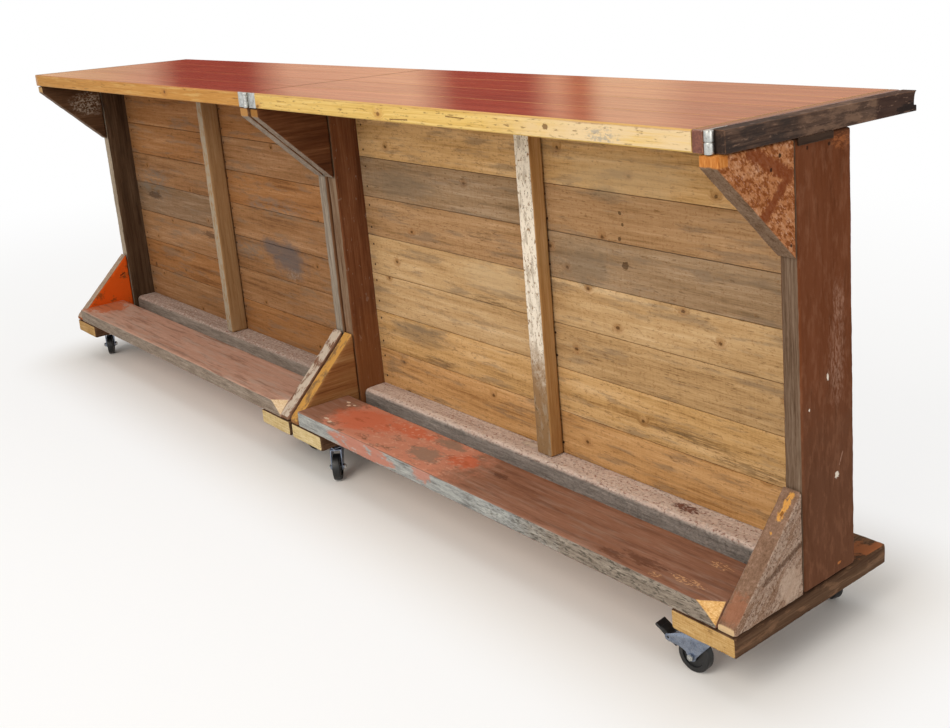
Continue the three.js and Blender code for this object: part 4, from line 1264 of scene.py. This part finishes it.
# a curved card stands far behind the bar, warm with red bands, for its varnish to mirror at a low angle
card = {
    "radius": 11.0, "height": 6.0, "strength": 1.0, "from": 96, "to": 184,  # degrees about the camera
    "fade": {"from": 22, "to": 19, "height": 1.6},
    "bands": [
        (96, "#d9ab8a"), (133.0, "#d9ab8a"), (135.0, "#f6cba2"), (137.4, "#f6cba2"), (138.4, "#ac5630"),
        (139.6, "#e8b18c"), (140.9, "#983e32"), (144.4, "#983e32"), (146.4, "#f4c49e"), (152.0, "#e6b392"),
        (153.8, "#903a2f"), (156.8, "#903a2f"), (158.2, "#d9a88a"), (160.0, "#e0b48c"), (163.0, "#f2cda2")]}


def onCard(face):
    middle = face.calc_center_median()
    return card["from"] < math.degrees(math.atan2(middle.y, middle.x)) % 360 < card["to"]


def reflectorCard():
    deselect()
    bpy.ops.mesh.primitive_cylinder_add(vertices=120, radius=card["radius"], depth=card["height"],
                                        end_fill_type="NOTHING")
    arc = bpy.context.object
    arc.name = "reflector_card"
    bpy.ops.object.mode_set(mode="EDIT")
    selectWhere(arc, "FACE", lambda face: not onCard(face))
    bpy.ops.mesh.delete(type="FACE")
    bpy.ops.object.mode_set(mode="OBJECT")
    arc.location = (cameraLook["at"][0], cameraLook["at"][1], card["height"] / 2)
    applyPlace(arc)
    material = bpy.data.materials.new("Reflector card, warm with red bands")
    tree = emptyTree(material)
    place = addNode(tree, "TexCoord", output="Object")
    away = addNode(tree, "VectorMath", [place, cameraLook["at"]], operation="SUBTRACT")
    east, north, up = addNode(tree, "SeparateXYZ", [away], None).outputs
    # the heading runs from nought to a full turn
    heading = addNode(tree, "Math", [north, east], operation="ARCTAN2")
    heading = addNode(tree, "Math", [heading, 2 * math.pi], operation="ADD")
    heading = addNode(tree, "Math", [heading, 2 * math.pi], operation="MODULO")
    start, end = math.radians(card["from"]), math.radians(card["to"])
    ramp = addNode(tree, "ValToRGB", [addNode(tree, "MapRange", [heading, start, end])], None)
    wide = card["to"] - card["from"]
    fillRamp(ramp, [((turn - card["from"]) / wide, color) for turn, color in card["bands"]])
    glow = addNode(tree, "Emission", {"Color": ramp.outputs[0], "Strength": card["strength"]})
    # its ends and its upper edge fade away, so that no hard edge shows in the varnish from other sides
    fade = card["fade"]
    edge = card["height"] - cameraLook["at"][2]
    cover = 1.0
    for value, none, full in ((heading, start, start + math.radians(fade["from"])),
                              (heading, end, end - math.radians(fade["to"])),
                              (up, edge, edge - fade["height"])):
        step = addNode(tree, "MapRange", [value, none, full], interpolation_type="SMOOTHSTEP")
        cover = addNode(tree, "Math", [step, cover], operation="MULTIPLY")
    clear = addNode(tree, "BsdfTransparent")
    addNode(tree, "OutputMaterial", [addNode(tree, "MixShader", [cover, clear, glow])], None)
    arc.data.materials.append(material)
    arc.visible_camera = False
    arc.visible_diffuse = False
    arc.visible_shadow = False


reflectorCard()

bpy.context.scene.view_settings.view_transform = "Standard"
print("stage set")
